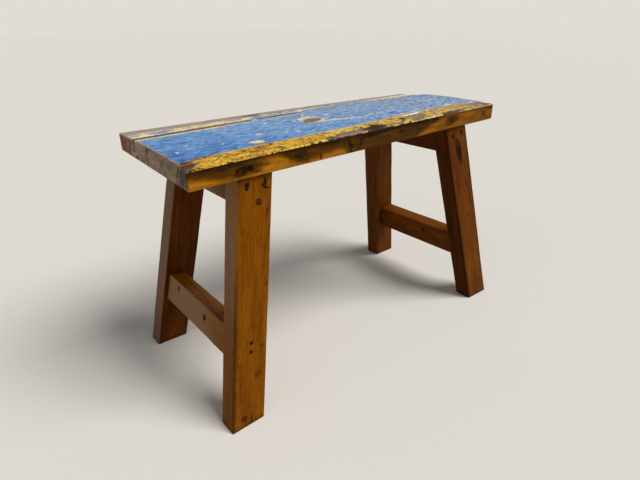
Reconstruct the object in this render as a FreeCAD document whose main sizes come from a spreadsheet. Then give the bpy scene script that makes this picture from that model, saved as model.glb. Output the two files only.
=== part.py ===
"""A small bench of reclaimed timber: one crowned, slightly winding plank on two leaning A-shaped end frames.

Frame: X runs along the plank, Y across it with the front at -Y, Z up. The origin lies on the floor under the
middle of the plank. Lengths are millimetres and angles are degrees.

Each end frame is flat and is drawn upright in a frame of its own: local Y across the bench, local Z up along the
frame, local X square to it, with the origin where the frame's middle meets the plank's level underside.
"""
import FreeCAD, Part
import os
import Sketcher

Vector = FreeCAD.Vector

SIZES = {
    # Plank: an arc crowns its top, and each end is rolled a little about the plank's length.
    "seat_length": 722,
    "seat_width": 270,
    "seat_thickness": 32.5,
    "seat_crown": 3.6,
    "seat_arris": 3,
    "seat_underside": 420,
    "wind_left": 2.05,
    "wind_right": -0.6,
    # Drying check: a narrow split in the plank's top that opens towards the left end.
    "check_width": 4,
    "check_depth": 9,
    "check_reach": 420,
    "check_near_y": 62,
    "check_far_y": 82,
    # End frames: where each stands under the plank and how far it leans out.
    "frame_setback": 114,
    "lean_angle": 11.2,
    # Legs: setback is from the plank's long edge to the leg's middle line.
    "leg_setback": 29.5,
    "splay_angle": 7.1,
    "leg_width": 38,
    "leg_thickness": 62,
    "leg_arris": 2,
    # Top rails: the reveal is the step from a leg's face in to the rail's face.
    "rail_height": 52,
    "rail_reveal": 2,
    "rail_arris": 1.5,
    # Stretchers: the rise is from the floor to the stretcher's middle, the offset is outwards.
    "stretcher_height": 57,
    "stretcher_thickness": 33,
    "stretcher_offset": 6,
    "stretcher_rise_left": 135,
    "stretcher_rise_right": 128,
    "stretcher_arris": 2,
    # Countersunk screws: a bite is the length that holds in the second piece.
    "screw_head": 9,
    "screw_shank": 5,
    "screw_head_depth": 2.2,
    "screw_tip": 8,
    "screw_recess": 1.2,
    "screw_clearance": 0.15,
    "frame_screw_bite": 34,
    "rail_screw_gauge": 30,
    "rail_screw_drop": 20,
    "stretcher_screw_gauge": 16,
    "seat_screw_bite": 18,
    "seat_screw_gauge": 100,
    "seat_screw_recess": 8,
    # Wood plugs in two old holes of the front-left leg.
    "plug_diameter": 9.5,
    "plug_length": 12,
    "plug_clearance": 0.1,
    "plug_upper_drop": 46,
    "plug_upper_shift": 6.5,
    "plug_foot_rise": 16,
    "plug_foot_shift": -10,
}

# The two ends along X and the two sides along Y, as signs.
ENDS = {"left": -1, "right": 1}
SIDES = {"front": -1, "rear": 1}

# Sizes worked out from the driving ones, in the end frame's own directions.
FRAME_X = "(dims.seat_length / 2 - dims.frame_setback)"
LEG_TOP_Y = "(dims.seat_width / 2 - dims.leg_setback)"
LEG_HALF = "(dims.leg_width / 2 / cos(dims.splay_angle))"
FLOOR_Z = "(-dims.seat_underside / cos(dims.lean_angle))"
RAIL_THICKNESS = "(dims.leg_thickness - 2 * dims.rail_reveal)"
FRAME_SCREW_LENGTH = "(dims.leg_width - dims.screw_recess + dims.frame_screw_bite)"
SEAT_SCREW_LENGTH = "(dims.rail_height - dims.seat_screw_recess + dims.seat_screw_bite)"

doc = FreeCAD.newDocument("bench")
sheet = doc.addObject("Spreadsheet::Sheet", "dims")
for row, (alias, size) in enumerate(SIZES.items(), 1):
    sheet.set(f"A{row}", alias)
    sheet.set(f"B{row}", str(size))
    sheet.setAlias(f"B{row}", alias)
doc.recompute()

nodes = []
solid_counts = {}


def keep(piece, count=1):
    """Marks a finished sub-part, with the number of separate solids that it holds."""
    nodes.append(piece)
    solid_counts[piece.Label] = count
    return piece


def amount(expression):
    """The present value of an expression in the sheet's sizes."""
    return float(sheet.evalExpression(expression))


def new_body(label):
    body = doc.addObject("PartDesign::Body", label)
    body.Label = label
    return body


def new_sketch(body, plane_role, label, offset="0", roll="0"):
    """A sketch on one of the body's own planes, moved along the plane's normal and rolled about it."""
    sketch = body.newObject("Sketcher::SketchObject", label)
    plane = next(feature for feature in body.Origin.OriginFeatures if feature.Role == plane_role)
    sketch.AttachmentSupport = [(plane, "")]
    sketch.MapMode = "FlatFace"
    turn = FreeCAD.Rotation(Vector(0, 0, 1), amount(roll))
    sketch.AttachmentOffset = FreeCAD.Placement(Vector(0, 0, amount(offset)), turn)
    sketch.setExpression("AttachmentOffset.Base.z", offset)
    sketch.setExpression("AttachmentOffset.Rotation.Angle", f"({roll}) * 1 deg")
    return sketch


def bind(sketch, kind, *where, size):
    """A dimension in a sketch that follows an expression in the sheet's sizes."""
    index = sketch.addConstraint(Sketcher.Constraint(kind, *where, amount(size)))
    sketch.setExpression(f"Constraints[{index}]", size)


def draw_polygon(sketch, corners):
    """A closed outline of straight lines through corners given as pairs of expressions."""
    points = [Vector(amount(x), amount(y), 0) for x, y in corners]
    lines = [
        sketch.addGeometry(Part.LineSegment(start, end))
        for start, end in zip(points, points[1:] + points[:1])
    ]
    for line, following in zip(lines, lines[1:] + lines[:1]):
        sketch.addConstraint(Sketcher.Constraint("Coincident", line, 2, following, 1))
    for line, (x, y) in zip(lines, corners):
        if x == "0":
            sketch.addConstraint(Sketcher.Constraint("PointOnObject", line, 1, -2))
        else:
            bind(sketch, "DistanceX", -1, 1, line, 1, size=x)
        if y == "0":
            sketch.addConstraint(Sketcher.Constraint("PointOnObject", line, 1, -1))
        else:
            bind(sketch, "DistanceY", -1, 1, line, 1, size=y)


def draw_plank_section(sketch):
    """The plank's section: a level underside, upright edges, a crowning arc and four rounded corners."""
    half = "(dims.seat_width / 2)"
    crown_radius = f"(({half} ^ 2 + dims.seat_crown ^ 2) / (2 * dims.seat_crown))"
    crown_centre = f"(dims.seat_thickness + dims.seat_crown - {crown_radius})"
    w, t, r = amount(half), amount("dims.seat_thickness"), amount("dims.seat_arris")
    top = t + amount("dims.seat_crown")
    bend = r * 2 ** -0.5
    corners = [
        Part.LineSegment(Vector(r - w, 0), Vector(w - r, 0)),
        Part.Arc(Vector(w - r, 0), Vector(w - r + bend, r - bend), Vector(w, r)),
        Part.LineSegment(Vector(w, r), Vector(w, t - r)),
        Part.Arc(Vector(w, t - r), Vector(w - r + bend, t - r + bend), Vector(w - r, t)),
        Part.Arc(Vector(w - r, t), Vector(0, top), Vector(r - w, t)),
        Part.Arc(Vector(r - w, t), Vector(r - w - bend, t - r + bend), Vector(-w, t - r)),
        Part.LineSegment(Vector(-w, t - r), Vector(-w, r)),
        Part.Arc(Vector(-w, r), Vector(r - w - bend, r - bend), Vector(r - w, 0)),
    ]
    ring = [sketch.addGeometry(curve) for curve in corners]
    for curve, following in zip(ring, ring[1:] + ring[:1]):
        sketch.addConstraint(Sketcher.Constraint("Tangent", curve, 2, following, 1))
    low, low_back, back, top_back, crown, top_front, front, low_front = ring
    sketch.addConstraint(Sketcher.Constraint("Horizontal", low))
    sketch.addConstraint(Sketcher.Constraint("Vertical", back))
    sketch.addConstraint(Sketcher.Constraint("Vertical", front))
    for arris in (low_back, top_back, top_front):
        sketch.addConstraint(Sketcher.Constraint("Equal", low_front, arris))
    sketch.addConstraint(Sketcher.Constraint("PointOnObject", low, 1, -1))
    sketch.addConstraint(Sketcher.Constraint("PointOnObject", crown, 3, -2))
    bind(sketch, "Radius", low_front, size="dims.seat_arris")
    bind(sketch, "Radius", crown, size=crown_radius)
    bind(sketch, "DistanceY", -1, 1, crown, 3, size=crown_centre)
    bind(sketch, "DistanceX", -1, 1, back, 1, size=half)
    bind(sketch, "DistanceX", -1, 1, front, 1, size=f"-{half}")


def make_plank_blank():
    """The plank before drilling: two end sections, rolled by the wind, joined by straight lines."""
    body = new_body("seat_plank_blank")
    sections = []
    for end, sign in ENDS.items():
        sketch = new_sketch(body, "YZ_Plane", f"plank_{end}_end", f"{sign} * dims.seat_length / 2",
                            f"dims.wind_{end}")
        draw_plank_section(sketch)
        sections.append(sketch)
    doc.recompute()
    loft = body.newObject("PartDesign::AdditiveLoft", "plank_length")
    loft.Profile = sections[0]
    loft.Sections = sections[1:]
    loft.Ruled = True
    doc.recompute()
    whole = loft.Shape.Volume
    split_from_check(body)
    doc.recompute()
    print(f"drying check takes {whole - body.Shape.Volume:.0f} cubic mm out of {whole:.0f}")
    body.setExpression("Placement.Base.z", "dims.seat_underside")
    return body


def split_from_check(body):
    """The drying check: a wedge between a wide section past the left end and a small one further along."""
    top = "(dims.seat_thickness + dims.seat_crown)"
    far_share = "(dims.check_reach / dims.seat_length)"
    far_roll = f"dims.wind_left + (dims.wind_right - dims.wind_left) * {far_share}"
    taper = 8
    stations = [
        ("check_mouth", "-dims.seat_length / 2 - dims.check_width", "dims.wind_left", "dims.check_near_y", 1),
        ("check_tail", "-dims.seat_length / 2 + dims.check_reach", far_roll, "dims.check_far_y", taper),
    ]
    sections = []
    for label, offset, roll, middle, share in stations:
        sketch = new_sketch(body, "YZ_Plane", label, offset, roll)
        draw_polygon(sketch, [
            (f"{middle} - dims.check_width / 2 / {share}", top),
            (middle, f"{top} - dims.check_depth / {share} - dims.seat_crown / 2"),
            (f"{middle} + dims.check_width / 2 / {share}", top),
        ])
        sections.append(sketch)
    doc.recompute()
    wedge = body.newObject("PartDesign::SubtractiveLoft", "drying_check")
    wedge.Profile = sections[0]
    wedge.Sections = sections[1:]
    wedge.Ruled = True


def in_frame(end):
    """The placement of an end frame, leaning out from the plank's underside to the floor."""
    sign = ENDS[end]
    return (f"placement(vector({sign} * {FRAME_X}; 0; dims.seat_underside); "
            f"rotation(vector(0; 1; 0); {-sign} * dims.lean_angle))")


def leg_line(side, height, shift):
    """Local Y of a line that runs along a leg, at a local height, shifted outwards from its middle line."""
    return f"{SIDES[side]} * ({LEG_TOP_Y} - ({height}) * tan(dims.splay_angle) + {shift})"


def edges_along(shape, direction):
    """Names of the straight edges that run along a direction."""
    names = []
    for number, edge in enumerate(shape.Edges, 1):
        run = (edge.Vertexes[-1].Point - edge.Vertexes[0].Point).normalize()
        if abs(abs(run.dot(direction)) - 1) < 1e-6:
            names.append(f"Edge{number}")
    return names


def make_stick(label, end, corners, thickness, arris, grain, offset="0"):
    """A piece of an end frame: an outline in the frame's plane, its thickness and its eased long edges."""
    body = new_body(label)
    sketch = new_sketch(body, "YZ_Plane", f"{label}_outline", offset)
    draw_polygon(sketch, corners)
    pad = body.newObject("PartDesign::Pad", f"{label}_thickness")
    pad.Profile = sketch
    pad.SideType = "Symmetric"
    pad.setExpression("Length", thickness)
    doc.recompute()
    easing = body.newObject("PartDesign::Chamfer", f"{label}_arrises")
    easing.Base = (pad, edges_along(pad.Shape, grain))
    easing.setExpression("Size", arris)
    body.setExpression("Placement", in_frame(end))
    doc.recompute()
    return body


def combine(kind, label, base, tool):
    piece = doc.addObject(kind, label)
    piece.Label = label
    piece.Base = base
    piece.Tool = tool
    return piece


def gather(label, pieces):
    group = doc.addObject("Part::Compound", label)
    group.Label = label
    group.Links = pieces
    return group


def fit_under_plank(label, blank):
    """Saws a blank level with the floor and half way up the plank, then scribes it to the plank's underside."""
    sawn = combine("Part::Common", f"{label}_sawn", blank, stance)
    return combine("Part::Cut", f"{label}_scribed", sawn, plank_blank)


def make_leg(end, side):
    label = f"leg_{side}_{end}_blank"
    top = "dims.leg_thickness"
    foot = f"{FLOOR_Z} - dims.leg_thickness"
    corners = [
        (leg_line(side, top, f"-{LEG_HALF}"), top),
        (leg_line(side, top, LEG_HALF), top),
        (leg_line(side, foot, LEG_HALF), foot),
        (leg_line(side, foot, f"-{LEG_HALF}"), foot),
    ]
    slope = FreeCAD.Rotation(Vector(1, 0, 0), SIDES[side] * amount("dims.splay_angle"))
    return make_stick(label, end, corners, "dims.leg_thickness", "dims.leg_arris",
                      slope.multVec(Vector(0, 0, 1)))


def crosspiece_corners(top, low):
    """A crosspiece between two legs, with its ends cut to the legs' inner faces."""
    inner = f"-{LEG_HALF}"
    return [
        (leg_line("front", top, inner), top),
        (leg_line("rear", top, inner), top),
        (leg_line("rear", low, inner), low),
        (leg_line("front", low, inner), low),
    ]


def stretcher_middle(end):
    return f"(({FLOOR_Z}) + dims.stretcher_rise_{end} / cos(dims.lean_angle))"


def make_rail(end):
    corners = crosspiece_corners("dims.seat_thickness", "-dims.rail_height")
    return make_stick(f"rail_{end}_blank", end, corners, RAIL_THICKNESS, "dims.rail_arris", Vector(0, 1, 0))


def make_stretcher(end):
    middle = stretcher_middle(end)
    corners = crosspiece_corners(f"{middle} + dims.stretcher_height / 2", f"{middle} - dims.stretcher_height / 2")
    return make_stick(f"stretcher_{end}_blank", end, corners, "dims.stretcher_thickness",
                      "dims.stretcher_arris", Vector(0, 1, 0), f"{ENDS[end]} * dims.stretcher_offset")


def turn_piece(label, half_outline, place):
    """A round piece about its own Z axis, from a half outline of radius and length pairs."""
    body = new_body(label)
    sketch = new_sketch(body, "XZ_Plane", f"{label}_half")
    draw_polygon(sketch, half_outline)
    turned = body.newObject("PartDesign::Revolution", f"{label}_turned")
    turned.Profile = sketch
    turned.ReferenceAxis = (sketch, ["V_Axis"])
    turned.Angle = 360
    body.setExpression("Placement", place)
    return body


def make_screw(label, length, recess, place):
    """A countersunk screw with its head sunk below a face, and the bore that takes it with clearance."""
    head, shank, depth = "dims.screw_head / 2", "dims.screw_shank / 2", "dims.screw_head_depth"
    play = "dims.screw_clearance"
    screw = turn_piece(label, [
        ("0", recess),
        (head, recess),
        (shank, f"{recess} + {depth}"),
        (shank, f"{recess} + {length} - dims.screw_tip"),
        ("0", f"{recess} + {length}"),
    ], place)
    bore = turn_piece(f"{label}_bore", [
        ("0", f"-{head}"),
        (f"{head} + {play}", f"-{head}"),
        (f"{head} + {play}", recess),
        (f"{shank} + {play}", f"{recess} + {depth}"),
        (f"{shank} + {play}", f"{recess} + {length} - dims.screw_tip"),
        ("0", f"{recess} + {length} + {play}"),
    ], place)
    return screw, bore


def into_leg(end, side, across, height):
    """A placement on a leg's outer face whose Z axis runs square into the leg."""
    sign = SIDES[side]
    face_y = leg_line(side, height, LEG_HALF)
    return (f"{in_frame(end)} * placement(vector({across}; {face_y}; {height}); "
            f"rotation(vector(1; 0; 0); {sign} * (90 + dims.splay_angle)))")


def make_screw_pair(label, places, length, recess="dims.screw_recess"):
    """Two screws as one node of separate solids, and the bores that they need."""
    pairs = [make_screw(f"{label}_{number}", length, recess, place) for number, place in enumerate(places, 1)]
    keep(gather(label, [screw for screw, _ in pairs]), len(pairs))
    return [bore for _, bore in pairs]


def rail_screw_places(end, side):
    return [into_leg(end, side, f"{sign} * dims.rail_screw_gauge / 2", "-dims.rail_screw_drop")
            for sign in (-1, 1)]


def stretcher_screw_places(end, side):
    """A pair on the leg's middle line, at heights that straddle the stretcher's middle where it meets the leg."""
    entry = f"{stretcher_middle(end)} + dims.leg_width * sin(dims.splay_angle)"
    return [into_leg(end, side, "0", f"{entry} + {sign} * dims.stretcher_screw_gauge / 2")
            for sign in (-1, 1)]


def seat_screw_places(end):
    return [f"{in_frame(end)} * placement(vector(0; {sign} * dims.seat_screw_gauge / 2; -dims.rail_height); "
            f"rotation(vector(1; 0; 0); 0))" for sign in (-1, 1)]


def make_plugs():
    """Two wood plugs flush with the front-left leg's front face, and the holes that they fill."""
    radius, play = "dims.plug_diameter / 2", "dims.plug_clearance"
    foot_height = f"{FLOOR_Z} + dims.plug_foot_rise / cos(dims.lean_angle)"
    spots = {
        "upper": into_leg("left", "front", "dims.plug_upper_shift", "-dims.plug_upper_drop"),
        "foot": into_leg("left", "front", "dims.plug_foot_shift", foot_height),
    }
    plugs, holes = [], []
    for name, place in spots.items():
        outline = [("0", "0"), (radius, "0"), (radius, "dims.plug_length"), ("0", "dims.plug_length")]
        plugs.append(turn_piece(f"plug_{name}", outline, place))
        wide, deep = f"{radius} + {play}", f"dims.plug_length + {play}"
        hole = [("0", f"-{radius}"), (wide, f"-{radius}"), (wide, deep), ("0", deep)]
        holes.append(turn_piece(f"plug_{name}_hole", hole, place))
    keep(gather("hole_plugs", plugs), len(plugs))
    return holes


def drill(label, blank, bores):
    """Drills a piece one hole at a time, and keeps it once the last hole is in."""
    for number, bore in enumerate(bores, 1):
        step = label if number == len(bores) else f"{label}_hole_{number}"
        blank = combine("Part::Cut", step, blank, bore)
    return keep(blank)


plank_blank = make_plank_blank()
stance = doc.addObject("Part::Box", "stance")
stance.setExpression("Length", "4 * dims.seat_length")
stance.setExpression("Width", "4 * dims.seat_length")
stance.setExpression("Height", "dims.seat_underside + dims.seat_thickness / 2")
stance.setExpression("Placement.Base.x", "-2 * dims.seat_length")
stance.setExpression("Placement.Base.y", "-2 * dims.seat_length")

plank_bores = []
for end in ENDS:
    seat_bores = make_screw_pair(f"seat_screws_{end}", seat_screw_places(end), SEAT_SCREW_LENGTH,
                                 "dims.seat_screw_recess")
    plank_bores += seat_bores
    rail_bores = list(seat_bores)
    stretcher_bores = []
    for side in SIDES:
        corner = f"{side}_{end}"
        to_rail = make_screw_pair(f"rail_screws_{corner}", rail_screw_places(end, side), FRAME_SCREW_LENGTH)
        to_stretcher = make_screw_pair(f"stretcher_screws_{corner}", stretcher_screw_places(end, side),
                                       FRAME_SCREW_LENGTH)
        leg_bores = to_rail + to_stretcher
        if corner == "front_left":
            leg_bores = leg_bores + make_plugs()
        leg = fit_under_plank(f"leg_{corner}", make_leg(end, side))
        drill(f"leg_{corner}", leg, leg_bores)
        rail_bores += to_rail
        stretcher_bores += to_stretcher
    drill(f"rail_{end}", fit_under_plank(f"rail_{end}", make_rail(end)), rail_bores)
    drill(f"stretcher_{end}", make_stretcher(end), stretcher_bores)
drill("seat_plank", plank_blank, plank_bores)
doc.recompute()

failed = [item.Label for item in doc.Objects if {"Invalid", "Error"} & set(item.State)]
if failed:
    raise RuntimeError(f"failed objects: {failed}")
for node in nodes:
    shape = node.Shape
    if shape.isNull() or not shape.isValid() or len(shape.Solids) != solid_counts[node.Label]:
        raise RuntimeError(f"{node.Label} has a wrong shape")

os.makedirs("parts", exist_ok=True)
for node in nodes:
    node.Shape.exportStep(f"parts/{node.Label}.step")
    print(f"{node.Label}: {len(node.Shape.Solids)} solid(s), {node.Shape.Volume:.0f} cubic mm")
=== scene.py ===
# %% [markdown]
# # A rustic bench of re-used painted timber
# The bench is one thick plank that still wears its old blue and yellow paint, carried by two leaning end
# frames of lacquered hardwood. The solid model already holds every piece at its real size and place. This
# lesson dresses it: each timber is drawn again as a fine skin with worn arrises, drying checks and chipped
# paint, and then gets a finish that starts from the real one. The skins are numpy grids, because wear is
# easiest to write as a formula over a whole surface at once.

# %% Load the solid model as the frame
import itertools
import math

import bpy
import numpy as np
from mathutils import Matrix, Vector


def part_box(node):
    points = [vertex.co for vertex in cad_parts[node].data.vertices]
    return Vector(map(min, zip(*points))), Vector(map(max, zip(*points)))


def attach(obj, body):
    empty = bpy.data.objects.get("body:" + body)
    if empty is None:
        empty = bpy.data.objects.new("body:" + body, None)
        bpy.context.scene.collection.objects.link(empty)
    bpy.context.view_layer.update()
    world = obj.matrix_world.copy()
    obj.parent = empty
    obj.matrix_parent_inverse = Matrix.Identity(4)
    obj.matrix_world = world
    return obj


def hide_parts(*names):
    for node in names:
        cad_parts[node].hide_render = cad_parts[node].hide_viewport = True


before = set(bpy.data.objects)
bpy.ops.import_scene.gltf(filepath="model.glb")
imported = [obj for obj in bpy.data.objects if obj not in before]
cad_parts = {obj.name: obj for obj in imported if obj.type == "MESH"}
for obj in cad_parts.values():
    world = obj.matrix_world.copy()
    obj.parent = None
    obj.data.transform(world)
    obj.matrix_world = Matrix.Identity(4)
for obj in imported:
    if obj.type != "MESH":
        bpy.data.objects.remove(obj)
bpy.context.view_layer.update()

MM = 0.001
print("nodes to dress:", len(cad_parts))

# %% [markdown]
# ## Camera
# The view is from the bench's front-left corner and a little above its seat, looking down onto the plank.
# Three unit vectors say which way the camera's right, top and lens point, which is easier to check by eye
# than angles.

# %% Place the camera
CAMERA_PLACE = Vector((-0.6074, -0.7300, 0.6282))
CAMERA_RIGHT = Vector((0.7769, -0.6294, -0.0171))
CAMERA_UP = Vector((0.2773, 0.3176, 0.9068))
CAMERA_AHEAD = Vector((0.5653, 0.7092, -0.4212))
LENS_MM = 26.716
SENSOR_MM = 36

camera_data = bpy.data.cameras.new("camera")
camera_data.sensor_fit = "HORIZONTAL"
camera_data.sensor_width = SENSOR_MM
camera_data.lens = LENS_MM
camera = bpy.data.objects.new("camera", camera_data)
camera_turn = Matrix((CAMERA_RIGHT, CAMERA_UP, -CAMERA_AHEAD)).transposed()
camera.matrix_world = Matrix.Translation(CAMERA_PLACE) @ camera_turn.to_4x4()
bpy.context.scene.collection.objects.link(camera)
bpy.context.scene.camera = camera
print("camera stands", round(CAMERA_PLACE.length, 3), "m from the bench's middle on the floor")

# %% [markdown]
# ## Helpers for finishes
# Colours are written the way a paint shop or a picture editor gives them, as sRGB hex, and shaders want
# linear light, so one function turns them. A second one adds a node, sets it and links it, so that a
# finish reads as a list of steps.


# %% Colours and nodes
def colour(hex_code):
    """sRGB hex to linear light: share / 12.92 near black, else ((share + 0.055) / 1.055) to the 2.4."""
    share = np.array([int(hex_code[place:place + 2], 16) for place in (1, 3, 5)]) / 255
    linear = np.where(share <= 0.04045, share / 12.92, ((share + 0.055) / 1.055) ** 2.4)
    return (*linear.tolist(), 1.0)


def add_node(tree, kind, settings=None, inputs=None, stops=None, output=None):
    """Adds a node, sets its properties, fills its sockets with values or links, and returns one output."""
    node = tree.nodes.new(kind)
    for name, value in (settings or {}).items():
        setattr(node, name, value)
    for number, (position, hex_code) in enumerate(stops or ()):
        elements = node.color_ramp.elements
        stop = elements[number] if number < 2 else elements.new(position)
        stop.position = position
        stop.color = colour(hex_code)
    for name, value in (inputs or {}).items():
        if isinstance(value, bpy.types.NodeSocket):
            tree.links.new(value, node.inputs[name])
        else:
            node.inputs[name].default_value = value
    if output:
        return node.outputs[output]
    return next((socket for socket in node.outputs if socket.enabled), None)


def new_material(name):
    """An empty node material."""
    material = bpy.data.materials.new(name)
    material.use_nodes = True
    material.node_tree.nodes.clear()
    return material, material.node_tree


print("a mid grey is", round(colour("#808080")[0], 3), "in linear light")

# %% [markdown]
# ## Floor
# A large plain pale floor catches the bench's soft shadow. One square is enough, and it reaches so far
# that its edge is the horizon. It is matt studio card, so it takes only a trace of gloss.

# %% Lay the floor
FLOOR_REACH = 40
FLOOR_COLOUR = "#E3E2DF"
FLOOR_ROUGHNESS = 0.75
FLOOR_GLOSS = 0.1

floor_mesh = bpy.data.meshes.new("floor")
floor_corners = [(x * FLOOR_REACH, y * FLOOR_REACH, 0) for x, y in ((-1, -1), (1, -1), (1, 1), (-1, 1))]
floor_mesh.from_pydata(floor_corners, [], [(0, 1, 2, 3)])
floor = bpy.data.objects.new("floor", floor_mesh)
bpy.context.scene.collection.objects.link(floor)

floor_material, tree = new_material("pale_matt_studio_floor")
floor_shader = add_node(tree, "ShaderNodeBsdfPrincipled", inputs={
    "Base Color": colour(FLOOR_COLOUR), "Roughness": FLOOR_ROUGHNESS, "Specular IOR Level": FLOOR_GLOSS})
add_node(tree, "ShaderNodeOutputMaterial", inputs={"Surface": floor_shader})
floor_mesh.materials.append(floor_material)
print("floor is", 2 * FLOOR_REACH, "m square")

# %% [markdown]
# ## Light
# A soft studio: a broad key lamp high on the front right, a weaker fill on the left, and a pale surround.
# Sun lamps with a wide angle light the floor evenly however far it reaches, and still give soft shadows.
# The surround shows its pale colour to the camera and in reflections, and lights the bench less, so that
# the timbers keep their depth under the seat.

# %% Lamps and surround
LAMPS = {
    # name: direction towards the lamp, strength, angular width in degrees, colour
    "key": ((0.42, -0.62, 0.95), 2.9, 35, "#FFFBF5"),
    "fill": ((-0.90, -0.25, 0.55), 0.3, 60, "#F1F4FF"),
}
SURROUND_COLOUR = "#E1DDD6"
SURROUND_GLOW = 0.24

for name, (towards, strength, width, tint) in LAMPS.items():
    lamp_data = bpy.data.lights.new(name, "SUN")
    lamp_data.energy = strength
    lamp_data.angle = math.radians(width)
    lamp_data.color = colour(tint)[:3]
    lamp = bpy.data.objects.new(name, lamp_data)
    lamp.rotation_euler = Vector(towards).to_track_quat("Z", "Y").to_euler()
    bpy.context.scene.collection.objects.link(lamp)

world = bpy.data.worlds.new("pale_studio")
world.use_nodes = True
bpy.context.scene.world = world
tree = world.node_tree
tree.nodes.clear()
seen = add_node(tree, "ShaderNodeLightPath", output="Is Camera Ray")
for ray in ("Is Glossy Ray", "Is Transmission Ray"):
    other = add_node(tree, "ShaderNodeLightPath", output=ray)
    seen = add_node(tree, "ShaderNodeMath", {"operation": "MAXIMUM"}, {0: seen, 1: other})
glow = add_node(tree, "ShaderNodeMapRange", inputs={"Value": seen, "To Min": SURROUND_GLOW, "To Max": 1.0})
surround = add_node(tree, "ShaderNodeBackground", inputs={
    "Color": colour(SURROUND_COLOUR), "Strength": glow})
add_node(tree, "ShaderNodeOutputWorld", inputs={"Surface": surround})
bpy.context.scene.view_settings.view_transform = "Standard"
print("lamps:", ", ".join(LAMPS))

# %% [markdown]
# ## Helpers for wear
# Old timber is never even, so the skins need a repeatable kind of chance. Value noise gives it: each point
# of a lattice gets a fixed number, and places in between are blended smoothly. A stretched lattice gives
# wood fibres. Lines and ovals are for what is listed one by one: the edge of a coat, a knot, a chip.


# %% Repeatable noise
def lattice_number(cell, seed):
    """A fixed number from 0 to 1 for each lattice point: products with large primes, mixed bit by bit."""
    mixed = (cell[..., 0] * 374761393 + cell[..., 1] * 668265263
             + cell[..., 2] * 1440662683 + seed * 974634777)
    mixed = ((mixed ^ (mixed >> 13)) * 1274126177) & 0x7FFFFFFF
    return ((mixed ^ (mixed >> 16)) & 0xFFFF) / 0xFFFF


def soft_noise(place, size, seed):
    """Noise from -1 to 1: lattice numbers one size apart, blended between eight corners by 3t² - 2t³."""
    scaled = place / np.asarray(size, float)
    cell = np.floor(scaled).astype(np.int64)
    share = scaled - cell
    share = share * share * (3 - 2 * share)
    total = 0
    for corner in itertools.product((0, 1), repeat=3):
        weight = np.prod(np.where(np.array(corner) == 1, share, 1 - share), axis=-1)
        total = total + weight * lattice_number(cell + np.array(corner), seed)
    return 2 * total - 1


def rough_noise(place, size, seed):
    """Three layers of noise, each half as large and half as strong as the one before."""
    return sum(soft_noise(place, np.asarray(size, float) / 2 ** layer, seed + layer) / 2 ** layer
               for layer in range(3)) / 1.75


print("noise at one place:", round(float(soft_noise(np.array([1.0, 2.0, 3.0]), 2.0, 1)), 3))


# %% Smooth lines, steps and ovals
def smooth_line(points, at):
    """A curve through given points: cubic pieces, each point's slope the mean of those beside it."""
    xs, ys = np.array(points, float).T
    slopes = np.gradient(ys, xs)
    piece = np.clip(np.searchsorted(xs, at) - 1, 0, len(xs) - 2)
    width = xs[piece + 1] - xs[piece]
    t = np.clip((at - xs[piece]) / width, 0, 1)
    return ((1 + 2 * t) * (1 - t) ** 2 * ys[piece] + t * (1 - t) ** 2 * width * slopes[piece]
            + t * t * (3 - 2 * t) * ys[piece + 1] + t * t * (t - 1) * width * slopes[piece + 1])


def ease(value, low, high):
    """0 below low, 1 above high, and 3t² - 2t³ between."""
    t = np.clip((value - low) / (high - low), 0, 1)
    return t * t * (3 - 2 * t)


def blot(across, along, centre, size, turn=0):
    """How many mm inside an oval a place lies: (1 - distance in radii) times the smaller radius."""
    dx, dy = across - centre[0], along - centre[1]
    c, s = math.cos(math.radians(turn)), math.sin(math.radians(turn))
    return (1 - np.hypot((dx * c + dy * s) / size[0], (dy * c - dx * s) / size[1])) * min(size)


def deepest(ovals, across, along):
    """The greatest depth inside any of several ovals."""
    return np.max([blot(across, along, *oval) for oval in ovals], axis=0)


print("half way up a step:", float(ease(0.5, 0, 1)))

# %% [markdown]
# ## Skins and pieces
# A skin is a stack of closed rings of points, joined by four-sided faces, with the first and the last ring
# filled. A piece is one object made of one or more skins. It could be modelled at the origin and moved,
# but here every point carries its real place, so that objects stay unturned and the grain can't slide.


# %% From rings to pieces
def outward(rings):
    """Unit normals of a skin: the step round the ring crossed with the step along the skin."""
    round_step = np.roll(rings, -1, 1) - np.roll(rings, 1, 1)
    normal = np.cross(round_step, np.gradient(rings, axis=0))
    return normal / np.maximum(np.linalg.norm(normal, axis=-1, keepdims=True), 1e-9)


def put_piece(name, skins, materials, node, fields=None, zones=None):
    """One object from skins of rings (mm): quads between rings, flat faces on the ends, values on points."""
    faces, points, start = [], [], 0
    for rings in skins:
        index = start + np.arange(rings.shape[0] * rings.shape[1]).reshape(rings.shape[:2])
        near, far = index[:-1], index[1:]
        quads = np.stack([near, np.roll(near, -1, 1), np.roll(far, -1, 1), far], -1).reshape(-1, 4)
        faces += quads.tolist() + [index[0, ::-1].tolist(), index[-1].tolist()]
        points.append(rings.reshape(-1, 3) * MM)
        start += index.size
    mesh = bpy.data.meshes.new(name)
    mesh.from_pydata(np.concatenate(points), [], faces)
    mesh.polygons.foreach_set("use_smooth", np.ones(len(faces), bool))
    for material in materials:
        mesh.materials.append(material)
    if zones is not None:
        mesh.polygons.foreach_set("material_index", zones.astype(np.int32))
    for field, values in (fields or {}).items():
        vector = values[0].ndim == 3
        layer = mesh.attributes.new(field, "FLOAT_VECTOR" if vector else "FLOAT", "POINT")
        flat = np.concatenate([value.reshape(-1) for value in values]).astype(np.float32)
        layer.data.foreach_set("vector" if vector else "value", flat)
    piece = bpy.data.objects.new(name, mesh)
    bpy.context.scene.collection.objects.link(piece)
    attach(piece, "root")
    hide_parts(node)
    return piece


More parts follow.
